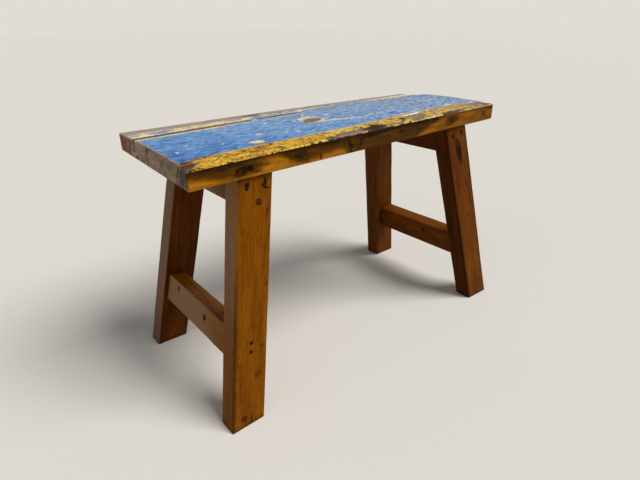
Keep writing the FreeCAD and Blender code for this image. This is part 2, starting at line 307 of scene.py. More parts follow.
def volume(rings):
    """Signed volume of a skin from its quads, in cubic mm: positive when its faces point outwards."""
    a, b = rings[:-1], np.roll(rings[:-1], -1, 1)
    c, d = np.roll(rings[1:], -1, 1), rings[1:]
    middle = rings.mean(axis=(0, 1))
    sides = np.cross(c - a, d - b) / 2
    return float((((a + b + c + d) / 4 - middle) * sides).sum() / 3)


print("skins carry their place in their points, so every object stays at the origin")

# %% [markdown]
# ## The plank
# The seat is a single re-used plank. Its top is crowned and a little twisted, its front edge has been
# rounded by years of use towards the left end, and a drying check runs in from the left end behind the
# blue paint. The skin is a section carried along the plank: the top's heights are read at the two ends and
# blended along the length, and a band of narrow columns follows the check, so that its walls stay clean.

# %% The plank's section
plank_low, plank_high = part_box("seat_plank")
PLANK_REACH = (plank_high.x - plank_low.x) / 2 / MM
PLANK_HALF = 135
UNDERSIDE = 420
WIND = (math.radians(2.05), math.radians(-0.6))
LEFT_TOP = ((-135, 445.4), (-117, 448.4), (-101, 450.5), (-60, 453.3), (0, 454.6), (89, 454.8), (135, 455.0))
RIGHT_TOP = ((-135, 453.6), (-95, 455.6), (-37, 456.6), (16, 457.0), (58, 454.8), (92, 450.7), (135, 448.6))
EDGE_RISE = (1.0, 2.0)        # how much less the front and back edges are worn halfway along
EDGE_RISE_FROM = 50           # where that rise starts, from the plank's middle line
CHECK_LINE = ((-361, 61), (-250, 67), (-120, 73), (20, 79), (361, 90))
CHECK_ZONE = 7
ARRIS = 3.0
TOP_COLUMNS = (34, 18, 104)   # behind the check, over it, and in front of it
ARC_COLUMNS = 4
FRONT_COLUMNS, UNDER_COLUMNS, BACK_COLUMNS = 20, 40, 14


def under_height(x, y):
    """The flat underside, which turns steadily from one end's wind to the other's."""
    turn = np.interp(x, (-PLANK_REACH, PLANK_REACH), WIND)
    return UNDERSIDE + y * np.tan(turn)


def top_height(x, y):
    """The worn top: the two ends' profiles blended along the plank, its long edges higher in between."""
    share = (x + PLANK_REACH) / (2 * PLANK_REACH)
    rise = (EDGE_RISE[0] * ease(-y, EDGE_RISE_FROM, PLANK_HALF)
            + EDGE_RISE[1] * ease(y, EDGE_RISE_FROM, PLANK_HALF))
    blend = (1 - share) * smooth_line(LEFT_TOP, y) + share * smooth_line(RIGHT_TOP, y)
    return blend + 4 * share * (1 - share) * rise


def plank_columns(x):
    """Place across, share from top to underside, and rounding offset of each column, for each station."""
    flat = PLANK_HALF - ARRIS
    check = smooth_line(CHECK_LINE, x)
    knots = np.stack([flat + 0 * x, check + CHECK_ZONE, check - CHECK_ZONE, -flat + 0 * x])
    run = np.concatenate([np.repeat(np.arange(3), TOP_COLUMNS), [2]])
    step = np.concatenate([*[np.arange(count) / count for count in TOP_COLUMNS], [1.0]])
    top_y = knots[run].T * (1 - step) + knots[run + 1].T * step
    angle = np.radians(np.linspace(0, 90, ARC_COLUMNS + 2)[1:-1])
    swell, drop = ARRIS * np.sin(angle), ARRIS * (1 - np.cos(angle))
    down, up = np.linspace(0, 1, FRONT_COLUMNS), np.linspace(1, 0, BACK_COLUMNS)
    side_y = np.concatenate([-flat - swell, np.full(FRONT_COLUMNS, -PLANK_HALF), -flat - swell[::-1],
                             np.linspace(-flat, flat, UNDER_COLUMNS), flat + swell,
                             np.full(BACK_COLUMNS, PLANK_HALF), flat + swell[::-1]])
    none, full = np.zeros(ARC_COLUMNS), np.ones(ARC_COLUMNS)
    share = np.concatenate([0 * step, none, down, full, np.ones(UNDER_COLUMNS), full, up, none])
    offset = np.concatenate([0 * step, -drop, ARRIS * (2 * down - 1), drop[::-1], np.zeros(UNDER_COLUMNS),
                             drop, ARRIS * (2 * up - 1), -drop[::-1]])
    return np.concatenate([top_y, np.broadcast_to(side_y, (len(x), len(side_y)))], 1), share, offset


print("plank is", round(2 * PLANK_REACH), "mm long,", sum(TOP_COLUMNS), "columns across its top")

# %% [markdown]
# ## The plank's rows
# Stations along the plank carry the section, and each end turns in over a small round arris to a sawn
# face. The face could be one big polygon, but end grain needs points to hold its stains, so rings that
# shrink towards the face's middle line fill it.

# %% Rows along the plank, with rounded ends and end faces
PLANK_STATIONS = 366
END_ROUND = 1.8
END_TUCK = 0.06               # how far an end face's innermost ring draws in across the plank
END_SHRINK = (0.1, 0.24, 0.4, 0.56, 0.72, 0.86, 0.95)

end_angle = np.radians([0, 30, 60])
end_step, end_inset = END_ROUND * (1 - np.cos(end_angle)), END_ROUND * (1 - np.sin(end_angle))
inner = PLANK_REACH - END_ROUND
half_x = np.concatenate([np.full(len(END_SHRINK), PLANK_REACH), PLANK_REACH - end_step])
half_inset = np.concatenate([np.full(len(END_SHRINK), END_ROUND), end_inset])
half_shrink = np.concatenate([np.array(END_SHRINK)[::-1], 0 * end_angle])
row_x = np.concatenate([-half_x, np.linspace(-inner, inner, PLANK_STATIONS), half_x[::-1]])
row_inset = np.concatenate([half_inset, np.zeros(PLANK_STATIONS), half_inset[::-1]])
row_shrink = np.concatenate([half_shrink, np.zeros(PLANK_STATIONS), half_shrink[::-1]])

plank_y, plank_share, plank_offset = plank_columns(row_x)
plank_x = np.broadcast_to(row_x[:, None], plank_y.shape)
top_z, under_z = top_height(plank_x, plank_y), under_height(plank_x, plank_y)
plank_z = (1 - plank_share) * top_z + plank_share * under_z + plank_offset
step_y = np.roll(plank_y, -1, 1) - np.roll(plank_y, 1, 1)
step_z = np.roll(plank_z, -1, 1) - np.roll(plank_z, 1, 1)
step_size = np.hypot(step_y, step_z)
middle_z = (top_z + under_z) / 2
plank_y = plank_y - row_inset[:, None] * step_z / step_size
plank_z = plank_z + row_inset[:, None] * step_y / step_size
plank_y = plank_y * (1 - END_TUCK * row_shrink[:, None])
plank_z = middle_z + (plank_z - middle_z) * (1 - row_shrink[:, None])
plank_rings = np.stack([plank_x, plank_y, plank_z], -1)
print("plank grid", plank_y.shape, "volume", round(volume(plank_rings) / 1e6, 2), "litres")

# %% [markdown]
# ## Old paint on the plank
# Three coats lie on the top: a cream primer, the blue field over it, and a yellow strip along the front.
# Wear has taken them off in ragged islands: along the check and the back edge, round a knot, and along the
# front where sitters rub it. Each coat is a field over the top that tells how many mm inside its torn edge a
# place lies. The same field lifts the skin by the coat's thickness and tells the finish which coat shows, so
# colour and relief always agree. Borders are lines and chips are ovals, both listed one by one, and noise
# tears them.

# %% Where each coat lies, as places along X and across Y in mm
YELLOW_LINE = ((-361, -102), (-250, -100), (-100, -99), (30, -97),
               (110, -91), (200, -88), (270, -88), (361, -97))
BARE_BACK_LINE = ((-361, 101), (-200, 103), (-100, 104), (0, 105),
                  (100, 107), (200, 108), (300, 112), (361, 116))
BLUE_BACK_LINE = ((-361, 46), (-250, 53), (-120, 61), (-30, 69), (15, 94),
                  (60, 101), (120, 106), (220, 100), (290, 84), (361, 66))
CREAM_STREAK = ((-41, -32), (-12, -36), (7, -42), (25, -47), (58, -48), (98, -46))
# every oval below: centre, half sizes, turn in degrees
KNOT_BARE = ((-48, -10), (25, 14), 10)
KNOT_HALO = ((-45, -14), (30, 19), 8)
BLUE_REMNANTS = (
    ((-308, 90), (30, 8), 2),
    ((-352, 86), (12, 6), 0),
    ((-225, 96), (14, 3), 0),
    ((-152, 96), (22, 5), 1),
    ((-66, 92), (72, 9), 2),
)
CREAM_CHIPS = (
    ((-213, -82), (12, 10), 12),
    ((-226, -80), (5, 2), 5),
    ((-187, -42), (7, 5), -20),
    ((-131, 24), (9, 4), 30),
    ((-124, -68), (6, 4), 20),
    ((-140, -60), (4, 2), 0),
    ((-262, -58), (4, 2), 0),
    ((-339, -62), (2.6, 2), 0),
    ((-338, 27), (2, 2), 0),
    ((-232, 31), (6, 3), 20),
    ((-135, -26), (5, 2), 10),
    ((-63, 4), (7, 6), 30),
    ((-45, 14), (17, 5), 15),
    ((-30, 9), (10, 5), 20),
    ((-33, 40), (10, 3), 40),
    ((-64, -29), (14, 2), 8),
    ((3, 8), (10, 2.4), 35),
    ((50, -72), (5, 2), 0),
    ((74, -46), (7, 2.2), 18),
    ((93, -43), (8, 2.4), 24),
    ((124, -81), (11, 5), 20),
    ((160, -79), (8, 3), 10),
    ((268, -84), (14, 4), -4),
    ((205, -88), (12, 4), 0),
)
NICKS = (
    ((328, 40), (10, 3), 0),
    ((251, 15), (9, 3), 5),
    ((118, -60), (10, 2.5), 0),
    ((121, -75), (9, 2), 5),
    ((238, -61), (7, 4), 10),
    ((214, 57), (9, 2.5), 0),
    ((340, -6), (8, 2.5), 5),
    ((70, 72), (10, 2.5), 0),
    ((-262, -92), (3.5, 5), 20),
    ((-196, -70), (6, 1.5), 10),
)
FRONT_BARE = (
    ((-355, -118), (10, 17), -25),
    ((-78, -130), (42, 9), 3),
    ((6, -124), (40, 18), 4),
    ((62, -127), (36, 8), 4),
    ((94, -112), (13, 6), 4),
    ((118, -123), (20, 12), 0),
    ((133, -112), (34, 18), 10),
    ((215, -131), (34, 4), 2),
    ((322, -105), (28, 13), 6),
    ((350, -113), (14, 19), 0),
)
UNDER_SEAM = (((140, -91), (40, 6), 4), ((168, -112), (8, 14), -20), ((160, -131), (9, 2), 0))

top_place = np.stack([plank_x, plank_y, 0 * plank_x], -1)
seam = plank_y - smooth_line(YELLOW_LINE, plank_x)
check = smooth_line(CHECK_LINE, plank_x)
tear = rough_noise(top_place, (46, 16, 1), 11)
nibble = rough_noise(top_place, (13, 6, 1), 23)
crumble = rough_noise(top_place, (5.5, 3.5, 1), 29)
print("paint noise runs", round(float(tear.min()), 2), "to", round(float(tear.max()), 2))

# %% [markdown]
# ## The blue coat
# The blue was brushed over the whole field behind the yellow strip. It is left between the seam and a
# ragged rear border, with a few remnants behind the check, and chips, nicks, a bare knot and a long scrape
# open it again. Holes could be cut into the skin one by one, but the least of several distances does it in
# one step. A weight in front of a noise is how many mm it moves the torn edge.

# %% The blue field
FLECKS, FLECK_SEED, FLECK_LONG, FLECK_WIDE = 40, 5, 3.6, 1.4


def fleck_ovals(count, seed, long, wide):
    """Small chips scattered over the blue field: even chances of place and tilt, squared ones of size."""
    chance = np.random.default_rng(seed)
    places = zip(chance.uniform(-350, 350, count), chance.uniform(-90, 85, count))
    return [(place, (long * size, wide * size), tilt) for place, size, tilt in
            zip(places, chance.uniform(0.3, 1.2, count) ** 2, chance.uniform(-15, 25, count))]


flecks = deepest(fleck_ovals(FLECKS, FLECK_SEED, FLECK_LONG, FLECK_WIDE), plank_x, plank_y)
flecks = flecks + 0.7 * nibble + 0.9 * crumble - 0.25
chips = deepest(CREAM_CHIPS, plank_x, plank_y) + 3.0 * nibble + 3.2 * crumble
nicks = deepest(NICKS, plank_x, plank_y) + 2.5 * nibble + 2.5 * crumble
knot_bare = blot(plank_x, plank_y, *KNOT_BARE) + 5.0 * nibble + 2 * crumble
knot_halo = blot(plank_x, plank_y, *KNOT_HALO) + 10 * tear + 7 * nibble + 2 * crumble - 3
streak_y = smooth_line(CREAM_STREAK, plank_x)
streak_width = 5.0 * ease(plank_x, -52, -32) * (1 - ease(plank_x, 20, 95))
streak = streak_width - np.abs(plank_y - streak_y) + 3.5 * nibble + 2.0 * crumble - 0.8

blue_back = smooth_line(BLUE_BACK_LINE, plank_x)
back_rag = 3 + 9 * ease(plank_x, 0, 120)
blue_rear = blue_back - plank_y + back_rag * tear + 4 * nibble
blue_main = np.minimum(seam + 1.5 * tear + 0.8 * nibble, blue_rear)
blue_left = deepest(BLUE_REMNANTS, plank_x, plank_y) + 7 * tear + 8 * nibble + 3 * crumble
holes = np.max([chips, flecks, nicks, knot_bare + 1.0, knot_halo, streak], axis=0)
blue_field = np.minimum(np.maximum(blue_main, blue_left), -holes)
print("share of the top in blue:", round(float((blue_field[:, :sum(TOP_COLUMNS)] > 0).mean()), 2))

# %% [markdown]
# ## The yellow strip and the cream primer
# The yellow strip runs along the front and is rubbed through in places, more so to the right. Primer shows
# as a rim round the blue, in its chips, behind the check and under the worn seam. It could be left as a
# colour below the paint, but as a coat with an edge of its own it also wears through to wood. All three
# coats stop a little short of the sawn ends.

# %% The yellow and cream fields
front_bare = deepest(FRONT_BARE, plank_x, plank_y) + 7 * tear + 9 * nibble + 5 * crumble
right_wear = ease(plank_x, 60, 280) * (6 * nibble + 5 * tear + 6 * crumble + 1.0)
rim = (plank_y + PLANK_HALF + 0.9 + 0.4 * ease(plank_x, 150, 230)
       + 1.6 * tear + 1.4 * nibble + 0.8 * crumble)
yellow_field = np.min([-seam - 1.5 * tear - 0.8 * nibble, rim, -front_bare, 6 - 2.2 * right_wear], axis=0)

check_strip = 8.5 * (1 - ease(plank_x, -20, 40)) - np.abs(plank_y - check - 3.5) + 4 * nibble + 4 * tear
behind_check = np.minimum(plank_y - check - 2.5, smooth_line(BARE_BACK_LINE, plank_x) - plank_y)
behind_check = np.minimum(behind_check, -check_strip) + 6 * tear + 6 * nibble + 3 * crumble
check_lip = (5.0 * (1 - ease(plank_x, -150, 10)) - np.abs(plank_y - check + 9)
             + 4 * nibble + 4 * tear + 2 * crumble)
under_seam = deepest(UNDER_SEAM, plank_x, plank_y) + 4 * tear + 3 * nibble + 3 * crumble
cream_field = np.max([behind_check, check_lip, chips + 0.8, flecks + 0.5, knot_halo + 1, streak + 0.5,
                      np.minimum(blue_main + 1.8, blue_rear + 0.6), under_seam], axis=0)
worn_corner = blot(plank_x, plank_y, *FRONT_BARE[0]) + 7 * tear + 6 * nibble
cream_field = np.minimum(cream_field, -np.max([knot_bare, nicks + 0.8, worn_corner + 2], axis=0))

end_wear = PLANK_REACH - 1.2 - np.abs(plank_x) + 2.2 * nibble + 1.6 * tear
blue_field = np.minimum(blue_field, end_wear - 0.8)
yellow_field = np.minimum(yellow_field, end_wear)
cream_field = np.minimum(cream_field, end_wear)
print("share of the top in yellow:", round(float((yellow_field[:, :sum(TOP_COLUMNS)] > 0).mean()), 2))

# %% [markdown]
# ## Relief of the plank
# Each coat stands up from the wood by its thickness, bare places are rubbed hollow, and the check cuts
# down between its two walls, wide at the left end and gone a little past the middle. Its line wanders and
# its width varies, as drying wood tears along the fibres. The top arris has lost crumbs of wood along the
# front. Bump alone could fake all this, but the check and the arris show in the outline, so the skin
# itself moves.

# %% Check, coats, worn arrises and sawn ends
COAT_THICKNESS = 0.45
CHECK_HALF, CHECK_DEPTH, CHECK_END, CHECK_FADE = 1.35, 8.0, 40, 170
WORN_SHARE = 0.061            # the top, its arrises and the strip just below them

on_top = (plank_share == 0)[None, :] & (row_shrink == 0)[:, None]
on_end = np.broadcast_to((row_shrink > 0)[:, None], plank_y.shape)

coat = ease(np.maximum(blue_field, yellow_field), -0.6, 0.6) + 0.7 * ease(cream_field, -0.6, 0.6)
check_fade = 1 - ease(plank_x, CHECK_END - CHECK_FADE, CHECK_END)
check_wander = check + 1.6 * rough_noise(top_place * (1, 0, 0), 38, 31)
check_half = CHECK_HALF * (0.45 + 0.55 * check_fade) * (1 + 0.55 * soft_noise(top_place * (1, 0, 0), 21, 37))
check_wall = 1 - ease(np.abs(plank_y - check_wander), 0.25 * check_half, check_half + 0.7)
check_cut = check_fade * CHECK_DEPTH * check_wall
hollow = 1.1 * ease(front_bare, -1, 6) + 0.8 * ease(knot_bare, -1, 4) + 0.5 * ease(check_strip, -2, 4)
furrow = 0.16 * soft_noise(top_place, (70, 3.8, 1), 41) + 0.35 * rough_noise(top_place, (150, 45, 1), 43)
top_relief = COAT_THICKNESS * coat - hollow - check_cut + furrow

edge_relief = (0.35 * rough_noise(plank_rings, (120, 40, 14), 47)
               + 0.1 * soft_noise(plank_rings, (40, 10, 3), 53))
end_relief = (0.25 * rough_noise(plank_rings, (40, 14, 9), 59)
              + 0.12 * soft_noise(plank_rings, (40, 3.2, 30), 61))
over_under = plank_z - under_z
worn = (plank_share < WORN_SHARE)[None, :] & ~on_end
wear = ARRIS * 0.25 * ease(rough_noise(plank_rings, (34, 20, 20), 67), -0.1, 0.7) * worn
near_arris = (1 - ease(plank_y + PLANK_HALF, 2, 9)) * ease(over_under, 12, 22) * ~on_end
wear = wear + 2.4 * near_arris * ease(rough_noise(plank_rings, (26, 30, 30), 69), 0.05, 0.6)
relief = np.where(on_top, top_relief, np.where(on_end, end_relief, edge_relief)) - wear
plank_skin = plank_rings + outward(plank_rings) * relief[..., None]
print("relief runs", round(float(relief.min()), 2), "to", round(float(relief.max()), 2), "mm")

# %% [markdown]
# ## Stains in the plank's sawn edges
# The front edge was planed and lacquered when the plank was re-used: honey-coloured wood below, old
# weathering above, three dark knots and a branch scar shaped like a V. One field from 0, clean, to 1,
# black, holds it all. It is built from a wandering line between the two tones and a few ovals for knots
# and scars, each with a soft rim. The sawn ends get inky drying streaks and a rusty heart side in the same
# way.

# %% Dark and rusty fields of the edges and ends
HONEY_LINE = ((-361, 17), (-335, 12), (-300, 7), (-262, 21), (-205, 22), (-185, 11), (-110, 10), (-75, 8),
              (-60, -6), (85, -8), (115, 4), (150, 15), (185, 27), (260, 30), (340, 27), (361, 24))
FRONT_SHADES = (
    # place along and height over the underside, half sizes, turn, darkness, softness of the rim in mm
    ((-276, 13), (15, 7), 12, 0.92, 4),
    ((-262, 15), (7, 6), 10, 0.98, 4),
    ((-270, 15), (34, 10), 6, 0.62, 7),
    ((-322, 19), (36, 7), -8, 0.62, 6),
    ((-168, 17), (20, 10), -6, 0.78, 8),
    ((-110, 24), (52, 8), 0, 0.66, 7),
    ((-128, 6), (1.5, 5), 0, 0.75, 2),
    ((-62, 14), (6, 20), 18, 0.86, 3),
    ((-37, 16), (5, 18), -22, 0.80, 3),
    ((-50, 18), (16, 16), 0, 0.62, 6),
    ((20, 15), (40, 14), 0, 0.62, 9),
    ((66, 17), (8, 4), 10, 0.80, 4),
    ((217, 17), (8, 7), 0, 0.97, 4),
    ((217, 18), (26, 11), 8, 0.62, 9),
    ((328, 17), (9, 7), 0, 0.55, 6),
)
FRONT_KNOTS = (((-283, 12), (10, 8), 20), ((217, 17), (8, 7), 0))
END_STREAKS = (
    # place across and height over the underside, half sizes, turn, darkness
    ((86, 15), (3.4, 22), 28, 0.78),
    ((66, 22), (3.0, 16), 0, 0.92),
    ((10, 16), (3.6, 20), 14, 0.80),
    ((56, 5), (6, 5), 0, 0.84),
    ((-40, 12), (3, 12), 24, 0.60),
    ((-118, 16), (10, 24), 24, 0.74),
    ((-104, 20), (2.8, 18), 30, 0.92),
    ((-132, 14), (4, 14), 0, 0.95),
)
RUST_LINE = (112, 78)         # across Y: fully rusty past the first, clean before the second

mottle = rough_noise(plank_rings, (60, 30, 9), 71)
speck = rough_noise(plank_rings, (14, 8, 4), 73)
fray = rough_noise(plank_rings, (7, 7, 4), 77)
honey = smooth_line(HONEY_LINE, plank_x) + 3.0 * mottle
weathered = ease(over_under + 4 * mottle, 18, 28) * (1 - 0.8 * ease(plank_x, 120, 190))
stain = 0.50 * ease(over_under - honey, -5, 6) + 0.10 * mottle + 0.08 * speck + 0.08
stain = stain + 0.26 * weathered + 0.20 * ease(plank_x, 60, 230)
for centre, size, turn, depth, rim_mm in FRONT_SHADES:
    inside = blot(plank_x, over_under, centre, size, turn) + 3.0 * speck + 2.0 * mottle + 4.0 * fray
    stain = np.maximum(stain, depth * ease(inside, -rim_mm, 0.8 * rim_mm))
heart = ease(deepest(FRONT_KNOTS, plank_x, over_under) + 4 * speck, 0.5, 4.5)
stain = stain - 0.45 * heart * ease(rough_noise(plank_rings, (5, 5, 4), 79), -0.35, 0.25)
front = (plank_y < ARRIS - PLANK_HALF) & ~on_end
stain = np.where(front, stain, 0.40 + 0.30 * mottle + 0.16 * speck)

end_stain = 0.36 + 0.20 * mottle + 0.22 * speck
for centre, size, turn, depth in END_STREAKS:
    inside = blot(plank_y, over_under, centre, size, turn) + 1.2 * speck
    end_stain = np.maximum(end_stain, depth * ease(inside, -1.4, 1.6) * (plank_x < 0))
stain = np.where(on_end, end_stain, stain)
rust = ease(plank_y + 14 * mottle + 6 * speck, RUST_LINE[1], RUST_LINE[0]) * (1 - ease(plank_x, -350, -200))
rust = np.where(front, heart, rust)
print("mean darkness of the front edge:", round(float(stain[front].mean()), 2))

# %% [markdown]
# ## Worn, soiled and faded places of the top
# Bare wood isn't one colour: where it is rubbed it goes brown, where rain and sun reach it goes grey, and
# knots hold soot, while the check's walls are darkened as painted shade. The blue is paler towards the back
# and the right, partly faded and partly a painted sheen. Four kinds of change are written as three fields,
# soil, soot with painted shade, and fading with painted sheen, so that the finish only has to mix between
# its tones.

# %% Soil, soot and fading
BACK_KNOT = ((-102, 116), (14, 5), 0)
SOOTY = (((8, -122), (26, 13), 4), ((94, -112), (9, 5), 0), BACK_KNOT)
GREYED = (((132, -114), (36, 20), 10), ((325, -110), (44, 18), 0),
          ((-50, -130), (50, 10), 3), ((48, -130), (24, 8), 0))

greyed = ease(deepest(GREYED, plank_x, plank_y) + 5 * nibble, -2, 6)
rubbed_arris = 1 - ease(plank_y + PLANK_HALF, 0.6, 3.6 + 2 * tear)
rubbed_arris = rubbed_arris * (1 - 0.75 * ease(plank_x, 150, 230))
soil = np.max([ease(front_bare, -4, 5) * (1 - 0.5 * greyed), 0.22 * ease(knot_bare, -2, 3),
               ease(nicks, -2, 1), rubbed_arris, ease(blot(plank_x, plank_y, *BACK_KNOT), -2, 3),
               0.8 * ease(check_strip, -2, 3)], axis=0)
sooty = deepest(SOOTY, plank_x, plank_y) + 4 * tear + 4 * nibble
# soot on the dark ovals, knots, nicks and rubbed arris, and painted shade darkening the check's walls
soot_and_shade = np.max([0.85 * ease(sooty, -3, 5), 0.6 * ease(nicks, -1, 1), 0.2 * rubbed_arris,
               0.35 * ease(knot_bare, 0, 4), 0.75 * check_wall * check_fade], axis=0)
# paler towards the back and the right: partly faded paint, partly a painted sheen
fade_and_sheen = np.clip((plank_x + 1.8 * plank_y + 90 * tear + 440) / 760, 0, 1) ** 0.75
print("mean fading of the blue:", round(float(fade_and_sheen[blue_field > 0].mean()), 2))

# %% [markdown]
# ## Patterns for finishes
# Weathered wood and brushed paint both run along the grain, so their patterns are noise drawn out along
# the timber. A photograph of wood could be wrapped round the piece, but noise on the piece's own places
# never shows a seam and needs no file. Sizes are in mm: fibres under 1 mm wide would be lost in the
# picture, so they are drawn about 1 mm wide.


# %% Patterns along the grain
def streaks(tree, place, width, length, detail=3):
    """Streaks of a width and a length in mm, from 0 to 1: noise on places divided by those sizes."""
    shrunk = add_node(tree, "ShaderNodeVectorMath", {"operation": "MULTIPLY"},
                      {0: place, 1: (1 / width, 1 / width, 1 / length)})
    return add_node(tree, "ShaderNodeTexNoise", inputs={"Vector": shrunk, "Scale": 1.0, "Detail": detail})


def summed(tree, parts, start=0.0):
    """Adds up patterns, each times its weight."""
    total = start
    for pattern, weight in parts:
        total = add_node(tree, "ShaderNodeMath", {"operation": "MULTIPLY_ADD"},
                         {0: pattern, 1: weight, 2: total})
    return total


def finish_with(tree, base, roughness, height, **constants):
    """Ends a finish: a principled shader whose bump height is in mm."""
    bump = add_node(tree, "ShaderNodeBump", inputs={"Height": height, "Distance": MM, "Strength": 1.0})
    inputs = {"Base Color": base, "Roughness": roughness, "Normal": bump}
    inputs.update({name.replace("_", " "): value for name, value in constants.items()})
    shader = add_node(tree, "ShaderNodeBsdfPrincipled", inputs=inputs)
    add_node(tree, "ShaderNodeOutputMaterial", inputs={"Surface": shader})


print("patterns are sized in mm")

# %% [markdown]
# ## Bare wood of the top
# Where the paint is gone the wood is grey from sun and rain, and brown where it is rubbed and soiled. Both
# tones share the same fibres, because soil lies on the grain and doesn't replace it, so two ramps read one
# pattern and the soil field mixes them.


# %% Bare wood: grey where sun has bleached it, brown where it is rubbed and soiled
def bare_top_wood(tree, fibre, vein, soil, soot_and_shade):
    """Two ramps over the same fibres, mixed by the soil field and darkened by soot and painted shade."""
    grain = summed(tree, [(fibre, 0.6), (vein, 0.5)], -0.05)
    grey = add_node(tree, "ShaderNodeValToRGB", inputs={"Fac": grain},
                    stops=((0.30, "#62534A"), (0.72, "#CABCA9"), (0.44, "#968576"), (0.57, "#B5A391")))
    brown = add_node(tree, "ShaderNodeValToRGB", inputs={"Fac": grain},
                     stops=((0.34, "#201409"), (0.70, "#86644A"), (0.46, "#46301E"), (0.57, "#64472E")))
    wood = add_node(tree, "ShaderNodeMix", {"data_type": "RGBA"}, {0: soil, 6: grey, 7: brown})
    return add_node(tree, "ShaderNodeMix", {"data_type": "RGBA", "blend_type": "MULTIPLY"},
                    {0: soot_and_shade, 6: wood, 7: colour("#665A52")})


print("bare wood has two tones")

# %% [markdown]
# ## Yellow paint
# The strip is an ochre oil paint, darker at the left and paler to the right. Sun has shrunk it until it
# cracked into small plates. Cracks like these run along the borders of cells, so a cell pattern gives
# them, warped by noise so that the plates aren't neat, and they only open where a second noise lets them.

# %% Yellow paint: sun-cracked
CRACK_CELL = (7.0, 13.0)      # across and along the grain, mm


def sun_cracked_yellow(tree, place, fade_and_sheen, vein, crumb, patch):
    """Ochre yellow with cracks along the borders of warped cells, rusty flecks and pale rubbed spots."""
    wobble = add_node(tree, "ShaderNodeVectorMath", {"operation": "MULTIPLY"},
                      {0: place, 1: (0.2, 0.2, 0.14)})
    wobble = add_node(tree, "ShaderNodeTexNoise", inputs={"Vector": wobble, "Scale": 1.0, "Detail": 3},
                      output="Color")
    warped = add_node(tree, "ShaderNodeVectorMath", {"operation": "MULTIPLY_ADD"},
                      {0: wobble, 1: (6, 0, 9), 2: place})
    cells = add_node(tree, "ShaderNodeVectorMath", {"operation": "MULTIPLY"},
                     {0: warped, 1: (1 / CRACK_CELL[0], 0, 1 / CRACK_CELL[1])})
    border = add_node(tree, "ShaderNodeTexVoronoi", {"feature": "DISTANCE_TO_EDGE"},
                      {"Vector": cells, "Scale": 1.0})
    open_here = summed(tree, [(streaks(tree, place, 7, 16), 0.38), (border, -1.0)], -0.135)
    crack = add_node(tree, "ShaderNodeMapRange", inputs={
        "Value": open_here, "From Min": 0.0, "From Max": 0.05})
    fleck = add_node(tree, "ShaderNodeMapRange", inputs={
        "Value": streaks(tree, place, 1.7, 3.4), "From Min": 0.59, "From Max": 0.70})
    # the yellow follows the same field: darker at the left, paler to the right, partly fading and partly
    # painted sheen
    shaded = add_node(tree, "ShaderNodeMapRange", inputs={
        "Value": fade_and_sheen, "From Max": 0.4, "To Min": -0.145, "To Max": -0.045})
    tone = summed(tree, [(vein, 0.35), (crumb, 0.3), (patch, 0.5)], shaded)
    paint = add_node(tree, "ShaderNodeValToRGB", inputs={"Fac": tone},
                     stops=((0.30, "#7E4C18"), (0.70, "#F3E07A"), (0.40, "#C08C22"), (0.53, "#E4BC36")))
    rubbed = summed(tree, [(fade_and_sheen, 1.0), (patch, 0.8)], -0.4)
    pale = add_node(tree, "ShaderNodeMapRange", inputs={
        "Value": rubbed, "From Min": 0.42, "From Max": 0.78, "To Max": 0.8})
    for share, tint in ((pale, "#B8986A"), (fleck, "#5E3A18"), (crack, "#2F2210")):
        paint = add_node(tree, "ShaderNodeMix", {"data_type": "RGBA"}, {0: share, 6: paint, 7: colour(tint)})
    return paint, crack


print("cracks part the yellow into cells of about", CRACK_CELL, "mm")

# %% [markdown]
# ## Blue paint
# The blue was brushed along the plank and has split along the grain as the wood moved under it. It pales
# towards the back and the right, partly faded and partly a painted sheen. Brush lines and splits are the
# same drawn-out noise at different sizes, and a slow sway bends both, because grain is never quite straight.


# %% Blue paint: brushed, faded and split along the grain
def split_faded_blue(tree, place, fade_and_sheen, fibre, vein, crumb, patch):
    """Blue paling to the back and right, partly faded and partly painted sheen, with brush lines and
    wandering dark splits.
    """
    sway = streaks(tree, place, 12, 34, 2)
    warped = add_node(tree, "ShaderNodeVectorMath", {"operation": "MULTIPLY_ADD"},
                      {0: sway, 1: (9, 9, 0), 2: place})
    splits = streaks(tree, warped, 1.9, 13, 3)
    older = summed(tree, [(fade_and_sheen, 0.08), (splits, 1.0)])
    split = add_node(tree, "ShaderNodeMapRange", inputs={
        "Value": older, "From Min": 0.58, "From Max": 0.65})
    scuff = add_node(tree, "ShaderNodeMapRange", inputs={
        "Value": splits, "From Min": 0.42, "From Max": 0.32})
    daub = streaks(tree, warped, 4.5, 14, 3)
    sweep = add_node(tree, "ShaderNodeMath", {"operation": "MULTIPLY"},
                     {0: fade_and_sheen, 1: streaks(tree, place, 9, 70, 2)})
    tone = summed(tree, [(fade_and_sheen, 0.04), (vein, 0.70), (fibre, 0.60), (crumb, 0.60), (patch, 0.90),
                         (daub, 0.80), (sweep, 1.40)], -1.71)
    paint = add_node(tree, "ShaderNodeValToRGB", inputs={"Fac": tone},
                     stops=((0.00, "#316AB2"), (0.90, "#A2B4CE"), (0.20, "#4B86CA"), (0.42, "#6EA0DA"),
                            (0.66, "#88ACD8")))
    for pattern, weight, tint in ((scuff, 0.60, "#B4C8E2"), (split, 0.90, "#2A405C")):
        paint = add_node(tree, "ShaderNodeMix", {"data_type": "RGBA"},
                         {0: summed(tree, [(pattern, weight)]), 6: paint, 7: colour(tint)})
    return paint, split


print("splits follow the grain")

# %% [markdown]
# ## The coats together
# On the real plank the coats lie over one another, so the finish lays them in the same order over the bare
# wood: primer, yellow, blue. The torn edge of each coat is its field plus fine noise, cut at zero, and
# each coat also lifts the bump by its own edge. One finish for the whole top keeps every border sharp,
# which separate meshes for each coat couldn't.


